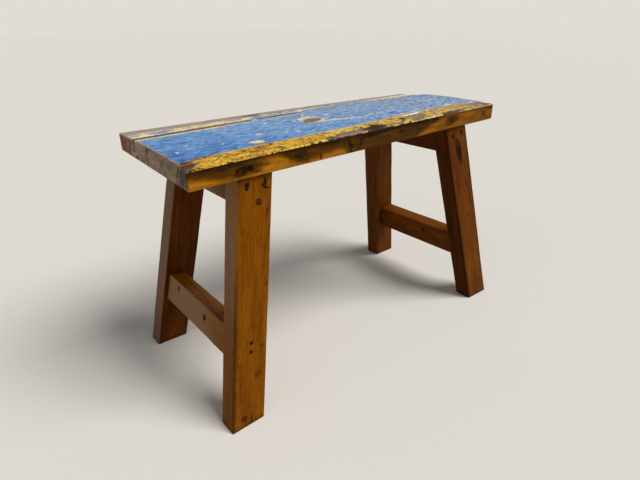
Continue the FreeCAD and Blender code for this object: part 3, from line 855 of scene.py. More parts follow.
# %% Old boat paint on weathered teak
def paint_on_weathered_teak():
    """Brushed oil paint, partly sun-bleached and paler by a painted sheen, chipped, a slight gloss left,
    over matt bare wood.
    """
    material, tree = new_material("old_brushed_oil_paint_on_weathered_teak")
    place = add_node(tree, "ShaderNodeAttribute", {"attribute_name": "grain_place"}, output="Vector")
    field = {name: add_node(tree, "ShaderNodeAttribute", {"attribute_name": name}, output="Fac")
             for name in ("cream", "yellow", "blue", "soil", "soot_and_shade", "fade_and_sheen")}
    fibre, vein = streaks(tree, place, 1.0, 30), streaks(tree, place, 4, 90)
    patch, crumb, grit = (streaks(tree, place, *size) for size in ((13, 30), (2.4, 5), (0.9, 2.2)))
    rag = summed(tree, [(crumb, 8.0), (grit, 3.0)], -5.5)
    surface = bare_top_wood(tree, fibre, vein, field["soil"], field["soot_and_shade"])
    primer_tone = summed(tree, [(vein, 0.6), (crumb, 0.5)], -0.05)
    primer = add_node(tree, "ShaderNodeValToRGB", inputs={"Fac": primer_tone},
                      stops=((0.34, "#B59F70"), (0.66, "#F1E9D0"), (0.50, "#E4D7AE")))
    yellow, crack = sun_cracked_yellow(tree, place, field["fade_and_sheen"], vein, crumb, patch)
    blue, split = split_faded_blue(tree, place, field["fade_and_sheen"], fibre, vein, crumb, patch)
    height = summed(tree, [(fibre, 0.35), (vein, 0.3), (split, -0.16), (crack, -0.2)])
    paint = 0.0
    for coat_name, tint in (("cream", primer), ("yellow", yellow), ("blue", blue)):
        torn = summed(tree, [(field[coat_name], 1.0), (rag, 0.8)])
        cover = add_node(tree, "ShaderNodeMapRange", inputs={
            "Value": torn, "From Min": -0.3, "From Max": 0.3})
        surface = add_node(tree, "ShaderNodeMix", {"data_type": "RGBA"}, {0: cover, 6: surface, 7: tint})
        height = summed(tree, [(cover, 0.22)], height)
        paint = add_node(tree, "ShaderNodeMath", {"operation": "MAXIMUM"}, {0: paint, 1: cover})
    roughness = summed(tree, [(paint, -0.24), (crumb, 0.14)], 0.72)
    finish_with(tree, surface, roughness, height, Specular_IOR_Level=0.18)
    return material


PAINTED_TOP = paint_on_weathered_teak()
print("painted top has", len(PAINTED_TOP.node_tree.nodes), "nodes")

# %% [markdown]
# ## The plank's edges and sawn ends
# The long edges were planed back to sound wood and lacquered, and the ends were only sawn. Both read the
# stain field through a ramp from clean to black, so that one drawing of knots and streaks serves two
# looks: a satin honey edge, and dull end grain whose pores are round and not drawn out.


# %% Lacquered edge and end grain
def lacquered_plank_edge():
    """Planed teak under satin lacquer: honey where it was sound, olive and black where weather stains it."""
    material, tree = new_material("planed_teak_edge_satin_lacquer")
    place = add_node(tree, "ShaderNodeAttribute", {"attribute_name": "grain_place"}, output="Vector")
    field = {name: add_node(tree, "ShaderNodeAttribute", {"attribute_name": name}, output="Fac")
             for name in ("stain", "rust")}
    fibre, vein, cloud = (streaks(tree, place, *size) for size in ((0.9, 28), (2.6, 60), (9, 40)))
    dark = summed(tree, [(field["stain"], 1.0), (fibre, 0.26), (vein, 0.46), (cloud, 0.30)], -0.50)
    base = add_node(tree, "ShaderNodeValToRGB", inputs={"Fac": dark},
                    stops=((0.0, "#AE741A"), (1.0, "#150C05"), (0.15, "#925D0E"), (0.32, "#764807"),
                           (0.55, "#4F3106"), (0.78, "#301D07")))
    base = add_node(tree, "ShaderNodeMix", {"data_type": "RGBA", "blend_type": "MULTIPLY"},
                    {0: field["rust"], 6: base, 7: colour("#E5A07A")})
    height = summed(tree, [(fibre, 0.18), (vein, 0.2)])
    finish_with(tree, base, summed(tree, [(vein, 0.2)], 0.34), height, Specular_IOR_Level=0.03)
    return material


def sawn_end_grain():
    """Cross-cut teak, grey from handling: dull taupe with a rusty heart side and inky drying streaks."""
    material, tree = new_material("sawn_teak_end_grain")
    place = add_node(tree, "ShaderNodeAttribute", {"attribute_name": "grain_place"}, output="Vector")
    field = {name: add_node(tree, "ShaderNodeAttribute", {"attribute_name": name}, output="Fac")
             for name in ("stain", "rust")}
    pores, cloud = streaks(tree, place, 1.1, 1.1), streaks(tree, place, 7, 7)
    dark = summed(tree, [(field["stain"], 1.0), (pores, 0.40), (cloud, 0.40)], -0.40)
    base = add_node(tree, "ShaderNodeValToRGB", inputs={"Fac": dark},
                    stops=((0.0, "#B29A80"), (1.0, "#191716"), (0.30, "#917A62"), (0.52, "#6D5A47"),
                           (0.75, "#3D3630")))
    base = add_node(tree, "ShaderNodeMix", {"data_type": "RGBA", "blend_type": "MULTIPLY"},
                    {0: field["rust"], 6: base, 7: colour("#D68A55")})
    height = summed(tree, [(pores, 0.25), (cloud, 0.3)])
    finish_with(tree, base, summed(tree, [(pores, 0.2)], 0.5), height, Specular_IOR_Level=0.12)
    return material


PLANK_FINISHES = [PAINTED_TOP, lacquered_plank_edge(), sawn_end_grain()]
print("plank finishes:", ", ".join(material.name for material in PLANK_FINISHES))

# %% [markdown]
# ## Putting the plank together
# Now the skin, the fields and the three finishes become one piece. Paint runs over the top and round its
# arrises, lacquer covers the edges and the underside, and the sawn faces close the ends. A number for each
# face says which finish it wears, so the plank stays a single closed body.

# %% The painted plank
PAINT_ZONE, EDGE_ZONE, END_ZONE = 0, 1, 2

top_count = sum(TOP_COLUMNS) + 1
column = np.arange(plank_share.size)
paint_column = (column < top_count + ARC_COLUMNS - 1) | (column >= plank_share.size - ARC_COLUMNS)
cap_row = (row_shrink[:-1] > 0) | (row_shrink[1:] > 0)
side_zone = np.where(paint_column, PAINT_ZONE, EDGE_ZONE)
zone = np.where(cap_row[:, None], END_ZONE, side_zone[None, :]).reshape(-1)
plank_fields = {"blue": blue_field, "yellow": yellow_field, "cream": cream_field, "soil": soil, "soot_and_shade": soot_and_shade,
                "fade_and_sheen": fade_and_sheen, "stain": stain, "rust": rust, "grain_place": plank_rings[..., [1, 2, 0]]}
plank = put_piece("painted_plank", [plank_skin], PLANK_FINISHES, "seat_plank",
                  {name: [values] for name, values in plank_fields.items()},
                  np.concatenate([zone, [END_ZONE, END_ZONE]]))
print("plank has", len(plank.data.polygons), "faces")

# %% [markdown]
# ## The end frames
# Each end of the bench stands on a frame of two legs, a rail and a stretcher. The frames lean towards each
# other at the top, and their legs splay. Every timber could be turned and moved as an object, but it is
# simpler to describe a frame flat, by a place across it, a place along Y and a height along the lean, and
# to turn those places into bench places with one formula.

# %% Places in an end frame
LEAN, SPLAY = math.radians(11.2), math.radians(7.1)
FRAME_X, LEG_TOP_Y = 247, 105.5
LEG_HALF_DEPTH, LEG_HALF_WIDTH = 31, 19
RAIL_HEIGHT, RAIL_HALF_DEPTH = 52, 29
STRETCHER_HALF_HEIGHT, STRETCHER_HALF_DEPTH, STRETCHER_OFFSET = 28.5, 16.5, 6
STRETCHER_RISE = {"left": 135, "right": 128}
ENDS, SIDES = {"left": -1, "right": 1}, {"front": -1, "rear": 1}
LEG_LENGTH = UNDERSIDE / math.cos(LEAN)
SCRIBE_STEPS = 4


def from_frame(end, across, y, height):
    """Bench place of an end frame's own place: across it, along Y, and up along the leaning frame."""
    x = end * (FRAME_X - height * math.sin(LEAN)) + across * math.cos(LEAN)
    z = UNDERSIDE + height * math.cos(LEAN) + end * across * math.sin(LEAN)
    return np.stack(np.broadcast_arrays(x, y, z), -1)


def leg_y(side, height, shift):
    """Y of a line in a leg, shifted outwards from the leg's middle line."""
    return side * (LEG_TOP_Y - height * math.tan(SPLAY) + shift / math.cos(SPLAY))


def leg_line(end, side, p, q, height):
    """Bench place at a frame height on a line of a leg, given by its place in the section."""
    return from_frame(end, p, leg_y(side, height, q), height)


def leg_foot(end, side, p, q):
    """Where a leg's lines meet the floor."""
    return leg_line(end, side, p, q, (-UNDERSIDE - end * p * math.sin(LEAN)) / math.cos(LEAN))


def leg_top(end, side, p, q):
    """Where a leg's lines meet the plank's underside: step up by the gap that is left, a few times."""
    height = 0 * p
    for _ in range(SCRIBE_STEPS):
        place = leg_line(end, side, p, q, height)
        height = height + (under_height(place[..., 0], place[..., 1]) - place[..., 2]) / math.cos(LEAN)
    return leg_line(end, side, p, q, height)


def stretcher_middle(end_name):
    """Frame height of a stretcher's middle line."""
    return (STRETCHER_RISE[end_name] - UNDERSIDE) / math.cos(LEAN)


print("a leg's middle line is", round(LEG_LENGTH), "mm long in its frame")

# %% [markdown]
# ## Sticks
# Legs, rails and stretchers are straight sticks, but their ends are cut at odd angles: feet flat on the
# floor, leg tops scribed to the winding plank, crosspieces cut to the splayed legs. So a stick here is a
# bundle of straight lines: a section with worn arrises, and for each of its points the two places where
# that line meets the two cuts. Stations between the cuts crowd together near screws and plugs, where small
# round shapes need small faces.

# %% From a section and two cuts to a stick
STICK_END_ROUND = 1.3
STICK_CAP = (0.08, 0.35, 0.65, 0.88)
ARRIS_POINTS = 4
COARSE_STEP, FINE_STEP, FINE_REACH = 2.6, 0.7, 8
RULER_STEPS = 4000
OFF_STICK = -1e3              # a station no stick reaches, for sticks with nothing to crowd at


def stick_section(half_p, half_q, arris, columns):
    """Points round a rectangle with quarter-circle arrises, from the +P +Q corner along the +Q side."""
    p, q = [], []
    angle = np.radians(np.linspace(0, 90, ARRIS_POINTS + 2)[1:-1])
    flat_p, flat_q = half_p - arris, half_q - arris
    corners = ((1, 1), (-1, 1), (-1, -1), (1, -1))
    for number, (sign_p, sign_q) in enumerate(corners):
        next_p, next_q = corners[(number + 1) % 4]
        upright = number % 2
        share = np.linspace(0, 1, columns[number])
        side_p = np.where(upright, half_p * sign_p, flat_p * (sign_p + (next_p - sign_p) * share))
        side_q = np.where(upright, flat_q * (sign_q + (next_q - sign_q) * share), half_q * sign_q)
        swing = angle if not upright else angle[::-1]
        p += [side_p, next_p * (flat_p + arris * np.sin(swing))]
        q += [side_q, next_q * (flat_q + arris * np.cos(swing))]
    return np.concatenate(p), np.concatenate(q)


def stations_along(length, fine_at):
    """Stations in mm, crowded near given ones: equal steps of the running sum of a density."""
    ruler = np.linspace(0, length, RULER_STEPS + 1)
    near = np.min(np.abs(ruler[:, None] - np.array([*fine_at, OFF_STICK])), axis=1) < FINE_REACH
    total = np.cumsum(np.where(near, 1 / FINE_STEP, 1 / COARSE_STEP)) * length / RULER_STEPS
    return np.interp(np.linspace(total[0], total[-1], int(total[-1]) + 1), total, ruler)


def make_stick(half, arris, columns, length, fine_at, low_end, high_end):
    """A stick's rings, with each point's place in the section and along it: lines between two cut ends."""
    p, q = stick_section(*half, arris, columns)
    soft = np.array([0, 0.4, STICK_END_ROUND])
    tuck = np.array([STICK_END_ROUND, 0.45, 0.0]) / min(half)
    inside = stations_along(length, fine_at)
    inside = inside[(inside > STICK_END_ROUND) & (inside < length - STICK_END_ROUND)]
    cap = len(STICK_CAP)
    along = np.concatenate([np.zeros(cap), soft, inside, length - soft[::-1], np.full(cap, length)])
    scale = np.concatenate([STICK_CAP, 1 - tuck, np.ones(len(inside)), (1 - tuck)[::-1], STICK_CAP[::-1]])
    p, q = p * scale[:, None], q * scale[:, None]
    t = (along / length)[:, None, None]
    rings = (1 - t) * low_end(p, q) + t * high_end(p, q)
    along = np.broadcast_to(along[:, None], p.shape)
    if volume(rings) < 0:
        return [values[:, ::-1] for values in (rings, p, q, along)]
    return [rings, p, q, along]


print("stations on 100 mm of stick with one screw:", len(stations_along(100, [50])))

# %% [markdown]
# ## Marks on the timbers
# The frames were screwed together and finished afterwards, so a leg shows two dark screw heads near the
# top and two at the stretcher, sunk a little below the face. The front-left leg also has two plugged holes
# from an earlier life. Small cracks, a knot and stains are listed by leg, on the leg's outer face: across
# it and height over the floor. Each mark darkens a field and presses the skin in.

# %% Screw places and leg marks
SCREW_HEAD, SCREW_SHANK, SCREW_HEAD_DEPTH, SCREW_TIP, SCREW_RECESS = 4.5, 2.5, 2.2, 8, 1.2
FRAME_SCREW, SEAT_SCREW, SEAT_SCREW_RECESS, SEAT_SCREW_Y = 70.8, 62, 8, 50
RAIL_SCREW_ACROSS, RAIL_SCREW_DROP, STRETCHER_SCREW_STEP = 15, 20, 8
SCREW_MOUTH = (3.2, 3.9)      # filler and lacquer have closed in over the sunk heads: low screws, top screws
PLUG_RADIUS, PLUG_LENGTH = 4.75, 12
PLUG_SPOTS = [(6.5, -46), (-10, (16 - UNDERSIDE) / math.cos(LEAN))]
LEG_MARKS = {
    # corner: place across and height over the floor, half sizes, turn, darkness, depth in mm
    "front_left": (
        ((-15.6, 400), (3.2, 5.0), 0, 1.0, 0.5),
        ((17.5, 402), (2.0, 6.0), 12, 0.9, 0.5),
        ((19.5, 393), (5.0, 1.4), -10, 0.9, 0.4),
        ((23.5, 357), (0.9, 7.0), -12, 0.85, 0.5),
        ((-3, 396), (1.2, 3.0), 0, 0.5, 0.1),
        ((26, 239), (2.4, 5.0), 10, 0.55, 0.2),
        ((14, 88), (9, 11), 10, 0.5, 0.0),
        ((22, 134), (3.5, 4.0), 0, 0.45, 0.1),
        ((-24, 117), (5.0, 2.0), 0, 0.5, 0.1),
        ((5, 10), (1.4, 4.5), 0, 0.95, 0.6),
        ((2, 150), (2.2, 5.0), -20, 0.55, 0.0),
    ),
    "front_right": (
        ((-13, 400), (2.4, 4.5), 0, 0.9, 0.4),
        ((14, 404), (3.0, 5.0), 20, 0.9, 0.4),
        ((-0.7, 366), (9.0, 26), 3, 0.74, 0.1),
        ((-0.7, 362), (5.2, 15), 4, 0.97, 0.6),
        ((26, 335), (2.2, 26), 0, 0.55, 0.1),
        ((12, 332), (1.5, 15), 2, 0.6, 0.1),
        ((5, 316), (1.2, 13), 2, 0.55, 0.1),
        ((11, 297), (1.8, 17), 3, 0.65, 0.1),
        ((15.5, 272), (1.8, 15), 2, 0.6, 0.1),
        ((17, 247), (1.3, 10), 2, 0.5, 0.1),
        ((22, 300), (1.4, 14), 3, 0.45, 0.1),
        ((-24, 340), (2.0, 12), 0, 0.45, 0.1),
        ((4, 213), (3.0, 5.0), 0, 0.7, 0.3),
    ),
    "rear_left": (((-8, 240), (4, 9), 0, 0.6, 0.2),),
    "rear_right": (((10, 300), (5, 12), 0, 0.6, 0.2),),
}


def leg_spots(end_name):
    """Across and frame height of a leg's four screws: two side by side into the rail, two in line below."""
    entry = stretcher_middle(end_name) + 2 * LEG_HALF_WIDTH * math.sin(SPLAY)
    return [(-RAIL_SCREW_ACROSS, -RAIL_SCREW_DROP), (RAIL_SCREW_ACROSS, -RAIL_SCREW_DROP),
            (0, entry - STRETCHER_SCREW_STEP), (0, entry + STRETCHER_SCREW_STEP)]


def leg_plugs(corner):
    """Across and frame height of a leg's plugged holes: only the front-left leg has any."""
    return PLUG_SPOTS if corner == "front_left" else []


print("screws in each leg:", len(leg_spots("left")))

# %% [markdown]
# ## Finish of the end frames
# The frames are a dense brown hardwood, planed and brushed with a satin lacquer that has gone amber.
# Growth rings are circles about a heart line far outside the stick, so the same pattern shows as faint
# straight grain on the faces and as arcs on the cut ends. Short flecks, fibres and pores are noise drawn
# out along the stick, and the listed marks are laid over them as dark filler.

# %% Lacquered frame timber
HEART_LINE = (640, -730, 0)   # shift from the stick's places to the heart of the tree, mm
RING_WIDTH = 5.2


def lacquered_frame_timber():
    """Planed hardwood under satin lacquer: amber to red-brown, fine pores, soft sheen, dark filled holes."""
    material, tree = new_material("planed_teak_satin_lacquer")
    place = add_node(tree, "ShaderNodeAttribute", {"attribute_name": "grain_place"}, output="Vector")
    field = {name: add_node(tree, "ShaderNodeAttribute", {"attribute_name": name}, output="Fac")
             for name in ("tone", "mark", "painted_reflection")}
    fibre, vein, fleck = (streaks(tree, place, *size) for size in ((0.9, 34), (3.2, 110), (1.5, 11)))
    cloud, sway = streaks(tree, place, 22, 130), streaks(tree, place, 26, 170)
    from_heart = add_node(tree, "ShaderNodeVectorMath", {"operation": "MULTIPLY_ADD"},
                          {0: place, 1: (1, 1, 0), 2: HEART_LINE})
    radius = add_node(tree, "ShaderNodeVectorMath", {"operation": "LENGTH"}, {0: from_heart}, output="Value")
    turns = summed(tree, [(radius, 2 * math.pi / RING_WIDTH), (sway, 16.0)])
    ring = add_node(tree, "ShaderNodeMath", {"operation": "SINE"}, {0: turns})
    shade = summed(tree, [(ring, 0.012), (fibre, 0.30), (vein, 0.20), (fleck, 0.22), (cloud, 0.34),
                          (field["tone"], 1.0)], -0.03)
    base = add_node(tree, "ShaderNodeValToRGB", inputs={"Fac": shade},
                    stops=((0.20, "#331502"), (0.82, "#9A6612"), (0.38, "#582C02"), (0.52, "#754202"),
                           (0.66, "#885104")))
    pores = add_node(tree, "ShaderNodeMapRange", inputs={
        "Value": streaks(tree, place, 0.8, 9, 4), "From Min": 0.60, "From Max": 0.72})
    base = add_node(tree, "ShaderNodeMix", {"data_type": "RGBA", "blend_type": "MULTIPLY"},
                    {0: pores, 6: base, 7: colour("#8C6A50")})
    # painted reflection: a pale grey-brown veil mixed into the colour, standing in for a pale surround
    # reflected on outward faces
    base = add_node(tree, "ShaderNodeMix", {"data_type": "RGBA"},
                    {0: field["painted_reflection"], 6: base, 7: colour("#967A5C")})
    # for the legs the mark field also holds painted shade at their tops, under the plank
    torn = summed(tree, [(field["mark"], 1.0), (streaks(tree, place, 1.2, 3), 0.5)], -0.25)
    filled = add_node(tree, "ShaderNodeMapRange", inputs={"Value": torn, "From Min": 0.15, "From Max": 0.9})
    base = add_node(tree, "ShaderNodeMix", {"data_type": "RGBA"}, {0: filled, 6: base, 7: colour("#1B0E07")})
    height = summed(tree, [(fibre, 0.16), (vein, 0.10), (pores, -0.10)])
    roughness = summed(tree, [(vein, 0.16), (cloud, 0.1)], 0.26)
    finish_with(tree, base, roughness, height, Specular_IOR_Level=0.03)
    return material


TIMBER = lacquered_frame_timber()
print("timber finish has", len(TIMBER.node_tree.nodes), "nodes")

# %% [markdown]
# ## From a stick to a finished timber
# A planed stick is flat only at first sight: the plane leaves slow waves, the fibres stand up a little,
# and hands and feet rub its arrises down unevenly. All of it is noise over the stick's own length and
# section, moved along its outward direction. Each timber takes its noise from another far-off place, so
# that no two share their grain.

# %% Relief and fields of a stick
TIMBERS = ("leg_front_left", "leg_rear_left", "leg_front_right", "leg_rear_right",
           "rail_left", "stretcher_left", "rail_right", "stretcher_right")
FIRST_GRAIN_SEED = 126
GRAIN_SPREAD = 900
MARK_RIM, TONE_RIM = (0.8, 0.2), (1.2, 0.3)    # how far inside a face marks and tones start and are full


def dent(distance, radius, depth):
    """A flat-bottomed round recess with a soft rim."""
    return depth * (1 - ease(distance, radius - 0.35, radius + 0.45))


def on_face(reach, half, rim):
    """1 on the face that lies a half size out along a direction, 0 on the others, eased over the rim."""
    return ease(reach, half - rim[0], half - rim[1])


def stick_relief(place, p, q, half, seed):
    """Hand-planed flats, slight fibres, and arrises rubbed down unevenly (mm)."""
    corner = np.minimum(half[0] - np.abs(p), half[1] - np.abs(q)) + np.hypot(
        np.minimum(half[0] - np.abs(p), 6), np.minimum(half[1] - np.abs(q), 6))
    rub = 0.6 * (1 - ease(corner, 0.5, 5)) * ease(rough_noise(place, (9, 9, 46), seed + 3), -0.25, 0.7)
    waves = 0.30 * rough_noise(place, (36, 36, 130), seed)
    return waves + 0.07 * soft_noise(place, (3.5, 3.5, 60), seed + 1) - rub


def dress_stick(node, stick, half, tone, marks, press, painted_reflection):
    """Turns a stick into a finished piece: grain places, dark marks and painted shade, tone, painted
    reflection.
    """
    rings, p, q, along = stick
    seed = FIRST_GRAIN_SEED + TIMBERS.index(node)
    grain_start = np.random.default_rng(seed).uniform(-GRAIN_SPREAD, GRAIN_SPREAD, 3)
    place = np.stack([p, q, along], -1) + grain_start
    relief = stick_relief(place, p, q, half, seed) - press
    skin = rings + outward(rings) * relief[..., None]
    skin[..., 2] = np.maximum(skin[..., 2], 0)
    fields = {"grain_place": [place], "mark": [marks], "tone": [tone + 0 * p], "painted_reflection": [painted_reflection]}
    return put_piece(f"{node}_timber", [skin], [TIMBER], node, fields)


print("timbers to dress:", len(TIMBERS))

# %% [markdown]
# ## Legs
# The four legs are the same stick, cut to the floor below and scribed to the plank above. They differ in
# tone and in what has happened to them: the front-left one is the lightest, the left ones carry a painted
# reflection, a pale grey-brown veil, on the side that faces out, and the low screw heads of the front-right
# one lie under filler. That leg's inner face is darkened as painted shade. All legs are darker at the feet
# and along one arris, and painted shade darkens their tops under the plank.

# %% Marks, darkening and painted shade of a leg
LOW_SCREWS = -60              # frame height that parts the stretcher's screws from the rail's
SCREW_SINK, PLUG_SINK, PLUG_GAP = 1.35, 0.7, 0.3
LEG_HALF = (LEG_HALF_DEPTH, LEG_HALF_WIDTH)


def leg_marks(corner, end_name, rings, p, ragged):
    """Darkness and depth of a leg's marks: sunk heads and plugs first, then the listed ones."""
    frame_z = (rings[..., 2] - UNDERSIDE - ENDS[end_name] * p * math.sin(LEAN)) / math.cos(LEAN)
    marks, press = 0 * p, 0 * p
    plugs = leg_plugs(corner)
    for across, height in leg_spots(end_name) + plugs:
        if corner == "front_right" and height < LOW_SCREWS:
            continue
        plugged = (across, height) in plugs
        distance = np.hypot(p - across, (frame_z - height) / math.cos(SPLAY))
        mouth = PLUG_RADIUS + PLUG_GAP if plugged else SCREW_MOUTH[height > LOW_SCREWS]
        press = press + dent(distance, mouth, PLUG_SINK if plugged else SCREW_SINK)
        marks = np.maximum(marks, 0.85 * (1 - ease(distance, mouth, mouth + 1.2)))
    for place, size, turn, depth, sink in LEG_MARKS[corner]:
        inside = blot(p, rings[..., 2], place, size, turn) + 0.10 * min(size) * ragged
        marks = np.maximum(marks, depth * ease(inside, *((-1.6, 0.8) if sink else (-4, 7))))
        press = press + sink * ease(inside, -0.6, 0.8)
    return marks, press


def leg_shade_and_darkening(rings, p, q, along, ragged):
    """Painted shade under the plank, and darkness at the foot and along the outer left arris, fading
    upwards.
    """
    # painted shade: the plank's shadow darkens the top of each leg
    painted_plank_shadow = 0.8 * (1 - ease(LEG_LENGTH - along + ragged, 1.0, 7))
    foot = 0.6 * (1 - ease(along + ragged, 1.5, 9))
    from_arris = np.hypot(p + LEG_HALF[0], q - LEG_HALF[1]) + 0.6 * ragged
    arris = 0.62 * (1 - ease(from_arris, 0.5, 10)) * (1 - 0.6 * ease(rings[..., 2], 180, 340))
    return [painted_plank_shadow, foot, arris]


print("listed marks:", {corner: len(marks) for corner, marks in LEG_MARKS.items()})

# %% The four legs
LEG_ARRIS = 1.9
LEG_COLUMNS = (76, 16, 28, 16)
LEG_TONE = {"front_left": 0.04, "front_right": -0.09, "rear_left": -0.13, "rear_right": -0.10}
# strength of the painted reflection on the left legs' outward faces
LEG_PAINTED_REFLECTION = 0.42
# painted shade: the front-right leg's inner face, turned in under the seat, is made darker
INNER_SHADE = 0.15            # how much darker the front-right leg's inner face is

for (end_name, end), (side_name, side) in itertools.product(ENDS.items(), SIDES.items()):
    corner = f"{side_name}_{end_name}"
    fine_at = [LEG_LENGTH + height for _, height in leg_spots(end_name) + leg_plugs(corner)]
    leg = make_stick(LEG_HALF, LEG_ARRIS, LEG_COLUMNS, LEG_LENGTH, fine_at,
                     lambda p, q: leg_foot(end, side, p, q), lambda p, q: leg_top(end, side, p, q))
    rings, p, q, along = leg
    ragged = 4 * rough_noise(rings, 9, 83)
    marks, press = leg_marks(corner, end_name, rings, p, ragged)
    outer = on_face(q, LEG_HALF_WIDTH, MARK_RIM)
    # dark marks on the outer face, painted shade under the plank, and darker feet and arris
    darkening = np.max([marks * outer, *leg_shade_and_darkening(rings, p, q, along, ragged)], axis=0)
    paler = 1.0 if side_name == "rear" else ease(rings[..., 2], 90, 300)
    # painted reflection on the left legs' outward faces, fading out lower down on the front legs
    painted_reflection = LEG_PAINTED_REFLECTION * on_face(-p, LEG_HALF_DEPTH, TONE_RIM) * paler * (end < 0)
    inner_face = on_face(-end * p, LEG_HALF_DEPTH, TONE_RIM)
    # painted shade on the front-right leg's inner face, carried in its tone
    tone = LEG_TONE[corner] - INNER_SHADE * inner_face * (corner == "front_right")
    dress_stick(f"leg_{corner}", leg, LEG_HALF, tone, darkening, press * outer, painted_reflection)
    print(corner, "leg:", rings.shape[:2], "grid")

# %% [markdown]
# ## Rails and stretchers
# The rail lies tight under the plank and the stretcher ties the legs below. Both are cut at each end to
# the splayed inner face of a leg, so their cuts are found from the leg's own formula and always meet it.
# The rails are bored from below for the screws that hold the plank; the left stretcher has two dark holes
# and fine cracks, the right one a knot.

# %% Cuts and marks of the crosspieces
STRETCHER_MARKS = (((74.6, 154), (4.2, 6.0), 0, 1.0), ((-36.5, 145), (4.6, 7.0), 20, 1.0))
KNOT_MARKS = (((-24, 134), (5, 6), 0, 0.85), ((-36, 133), (16, 2.5), 12, 0.6),
              ((-58, 124), (18, 2.5), 32, 0.6), ((30, 140), (20, 3), 4, 0.35))
CRACK_MARKS = (((-76, 0), (9, 1.3), 14, 1.0), ((-90, 2), (5, 1.2), -20, 0.9),
               ((-20, -4), (26, 2.0), 4, 0.5), ((40, 3), (30, 2.4), -3, 0.5))
SEAT_HOLES = {"rail": (-SEAT_SCREW_Y, SEAT_SCREW_Y), "stretcher": ()}
FAR_FROM_HOLE = 99            # added above the rail's middle, where the bore from below doesn't reach


def bar_cut(end, middle, sign, p, q):
    """Where a crosspiece's lines meet a leg's inner face, kept under the plank."""
    across, height = middle[0] + p, middle[1] + q
    place = from_frame(end, across, sign * leg_y(1, height, -LEG_HALF_WIDTH), height)
    place[..., 2] = np.minimum(place[..., 2], under_height(place[..., 0], place[..., 1]))
    return place


def bar_marks(bar, end_name, rings, p, q, half):
    """Darkness and depth of a crosspiece's marks: bores, then a knot or holes and cracks by their ovals."""
    _, y, z = np.moveaxis(rings, -1, 0)
    marks, press = 0 * p, 0 * p
    for hole_y in SEAT_HOLES[bar]:
        distance = np.hypot(p, y - hole_y) + FAR_FROM_HOLE * (q > 0)
        press = press + dent(distance, SCREW_HEAD + 0.5, SEAT_SCREW_RECESS + 0.15)
        marks = np.maximum(marks, 0.9 * (1 - ease(distance, SCREW_HEAD, SCREW_HEAD + 1.5)))
    left_face = on_face(-p, half[0], MARK_RIM)
    upper = on_face(q, half[1], MARK_RIM)
    if (bar, end_name) == ("stretcher", "right"):
        for place, size, turn, depth in KNOT_MARKS:
            inside = blot(y, z, place, size, turn) + 2 * rough_noise(rings, 6, 87)
            marks = np.maximum(marks, depth * ease(inside, -2.0, 1.5) * left_face)
    if (bar, end_name) == ("stretcher", "left"):
        for place, size, turn, depth in STRETCHER_MARKS:
            inside = blot(y, z, place, size, turn)
            marks = np.maximum(marks, depth * ease(inside, -1.6, 0.8) * left_face)
            press = press + 0.6 * ease(inside, -0.6, 0.8) * left_face
        for place, size, turn, depth in CRACK_MARKS:
            inside = blot(y, p, place, size, turn) + rough_noise(rings, 5, 89)
            marks = np.maximum(marks, depth * ease(inside, -1.4, 0.8) * upper)
    return marks, press


print("crosspieces meet the legs' inner faces")

# %% The two rails and two stretchers
BAR_HALF = {"rail": (RAIL_HALF_DEPTH, RAIL_HEIGHT / 2),
            "stretcher": (STRETCHER_HALF_DEPTH, STRETCHER_HALF_HEIGHT)}
BAR_ARRIS = {"rail": 1.6, "stretcher": 1.9}
BAR_COLUMNS = {"rail": (22, 30, 76, 30), "stretcher": (22, 30, 22, 30)}
BAR_TONE = {"rail_left": -0.06, "stretcher_left": 0.08, "rail_right": -0.16, "stretcher_right": -0.09}
# strength of the painted reflection on the left crosspieces' outward faces
BAR_PAINTED_REFLECTION = 0.60
TOP_LIGHT = 0.07              # how much lighter the right-hand crosspieces are on top

for (end_name, end), bar in itertools.product(ENDS.items(), BAR_HALF):
    node, half = f"{bar}_{end_name}", BAR_HALF[bar]
    middle = (0, -RAIL_HEIGHT / 2) if bar == "rail" else (end * STRETCHER_OFFSET, stretcher_middle(end_name))
    length = 2 * float(leg_y(1, middle[1], -LEG_HALF_WIDTH))
    fine_at = [length / 2 + hole_y for hole_y in SEAT_HOLES[bar]]
    stick = make_stick(half, BAR_ARRIS[bar], BAR_COLUMNS[bar], length, fine_at,
                       lambda p, q: bar_cut(end, middle, -1, p, q),
                       lambda p, q: bar_cut(end, middle, 1, p, q))
    rings, p, q, _ = stick
    marks, press = bar_marks(bar, end_name, rings, p, q, half)
    towards_back = 0.3 + 0.7 * ease(rings[..., 1], -95, -10)
    # painted reflection on the left crosspieces' outward faces, stronger towards the back
    painted_reflection = BAR_PAINTED_REFLECTION * on_face(-p, half[0], TONE_RIM) * towards_back * (end < 0)
    tone = BAR_TONE[node] + TOP_LIGHT * on_face(q, half[1], TONE_RIM) * (end > 0)
    dress_stick(node, stick, half, tone, marks, press, painted_reflection)
    print(node, rings.shape[:2], "grid, about", round(length), "mm between legs")

# %% [markdown]
# ## Screws and plugs
# The screws are plain countersunk ones with a cross recess, driven below the face, darkened by lacquer and
# dirt. They are turned shapes, and so are the two plugs: a profile of radius and depth swept round an
# axis. The cross is pressed into the head's rows by how far a place lies from either arm's middle line.

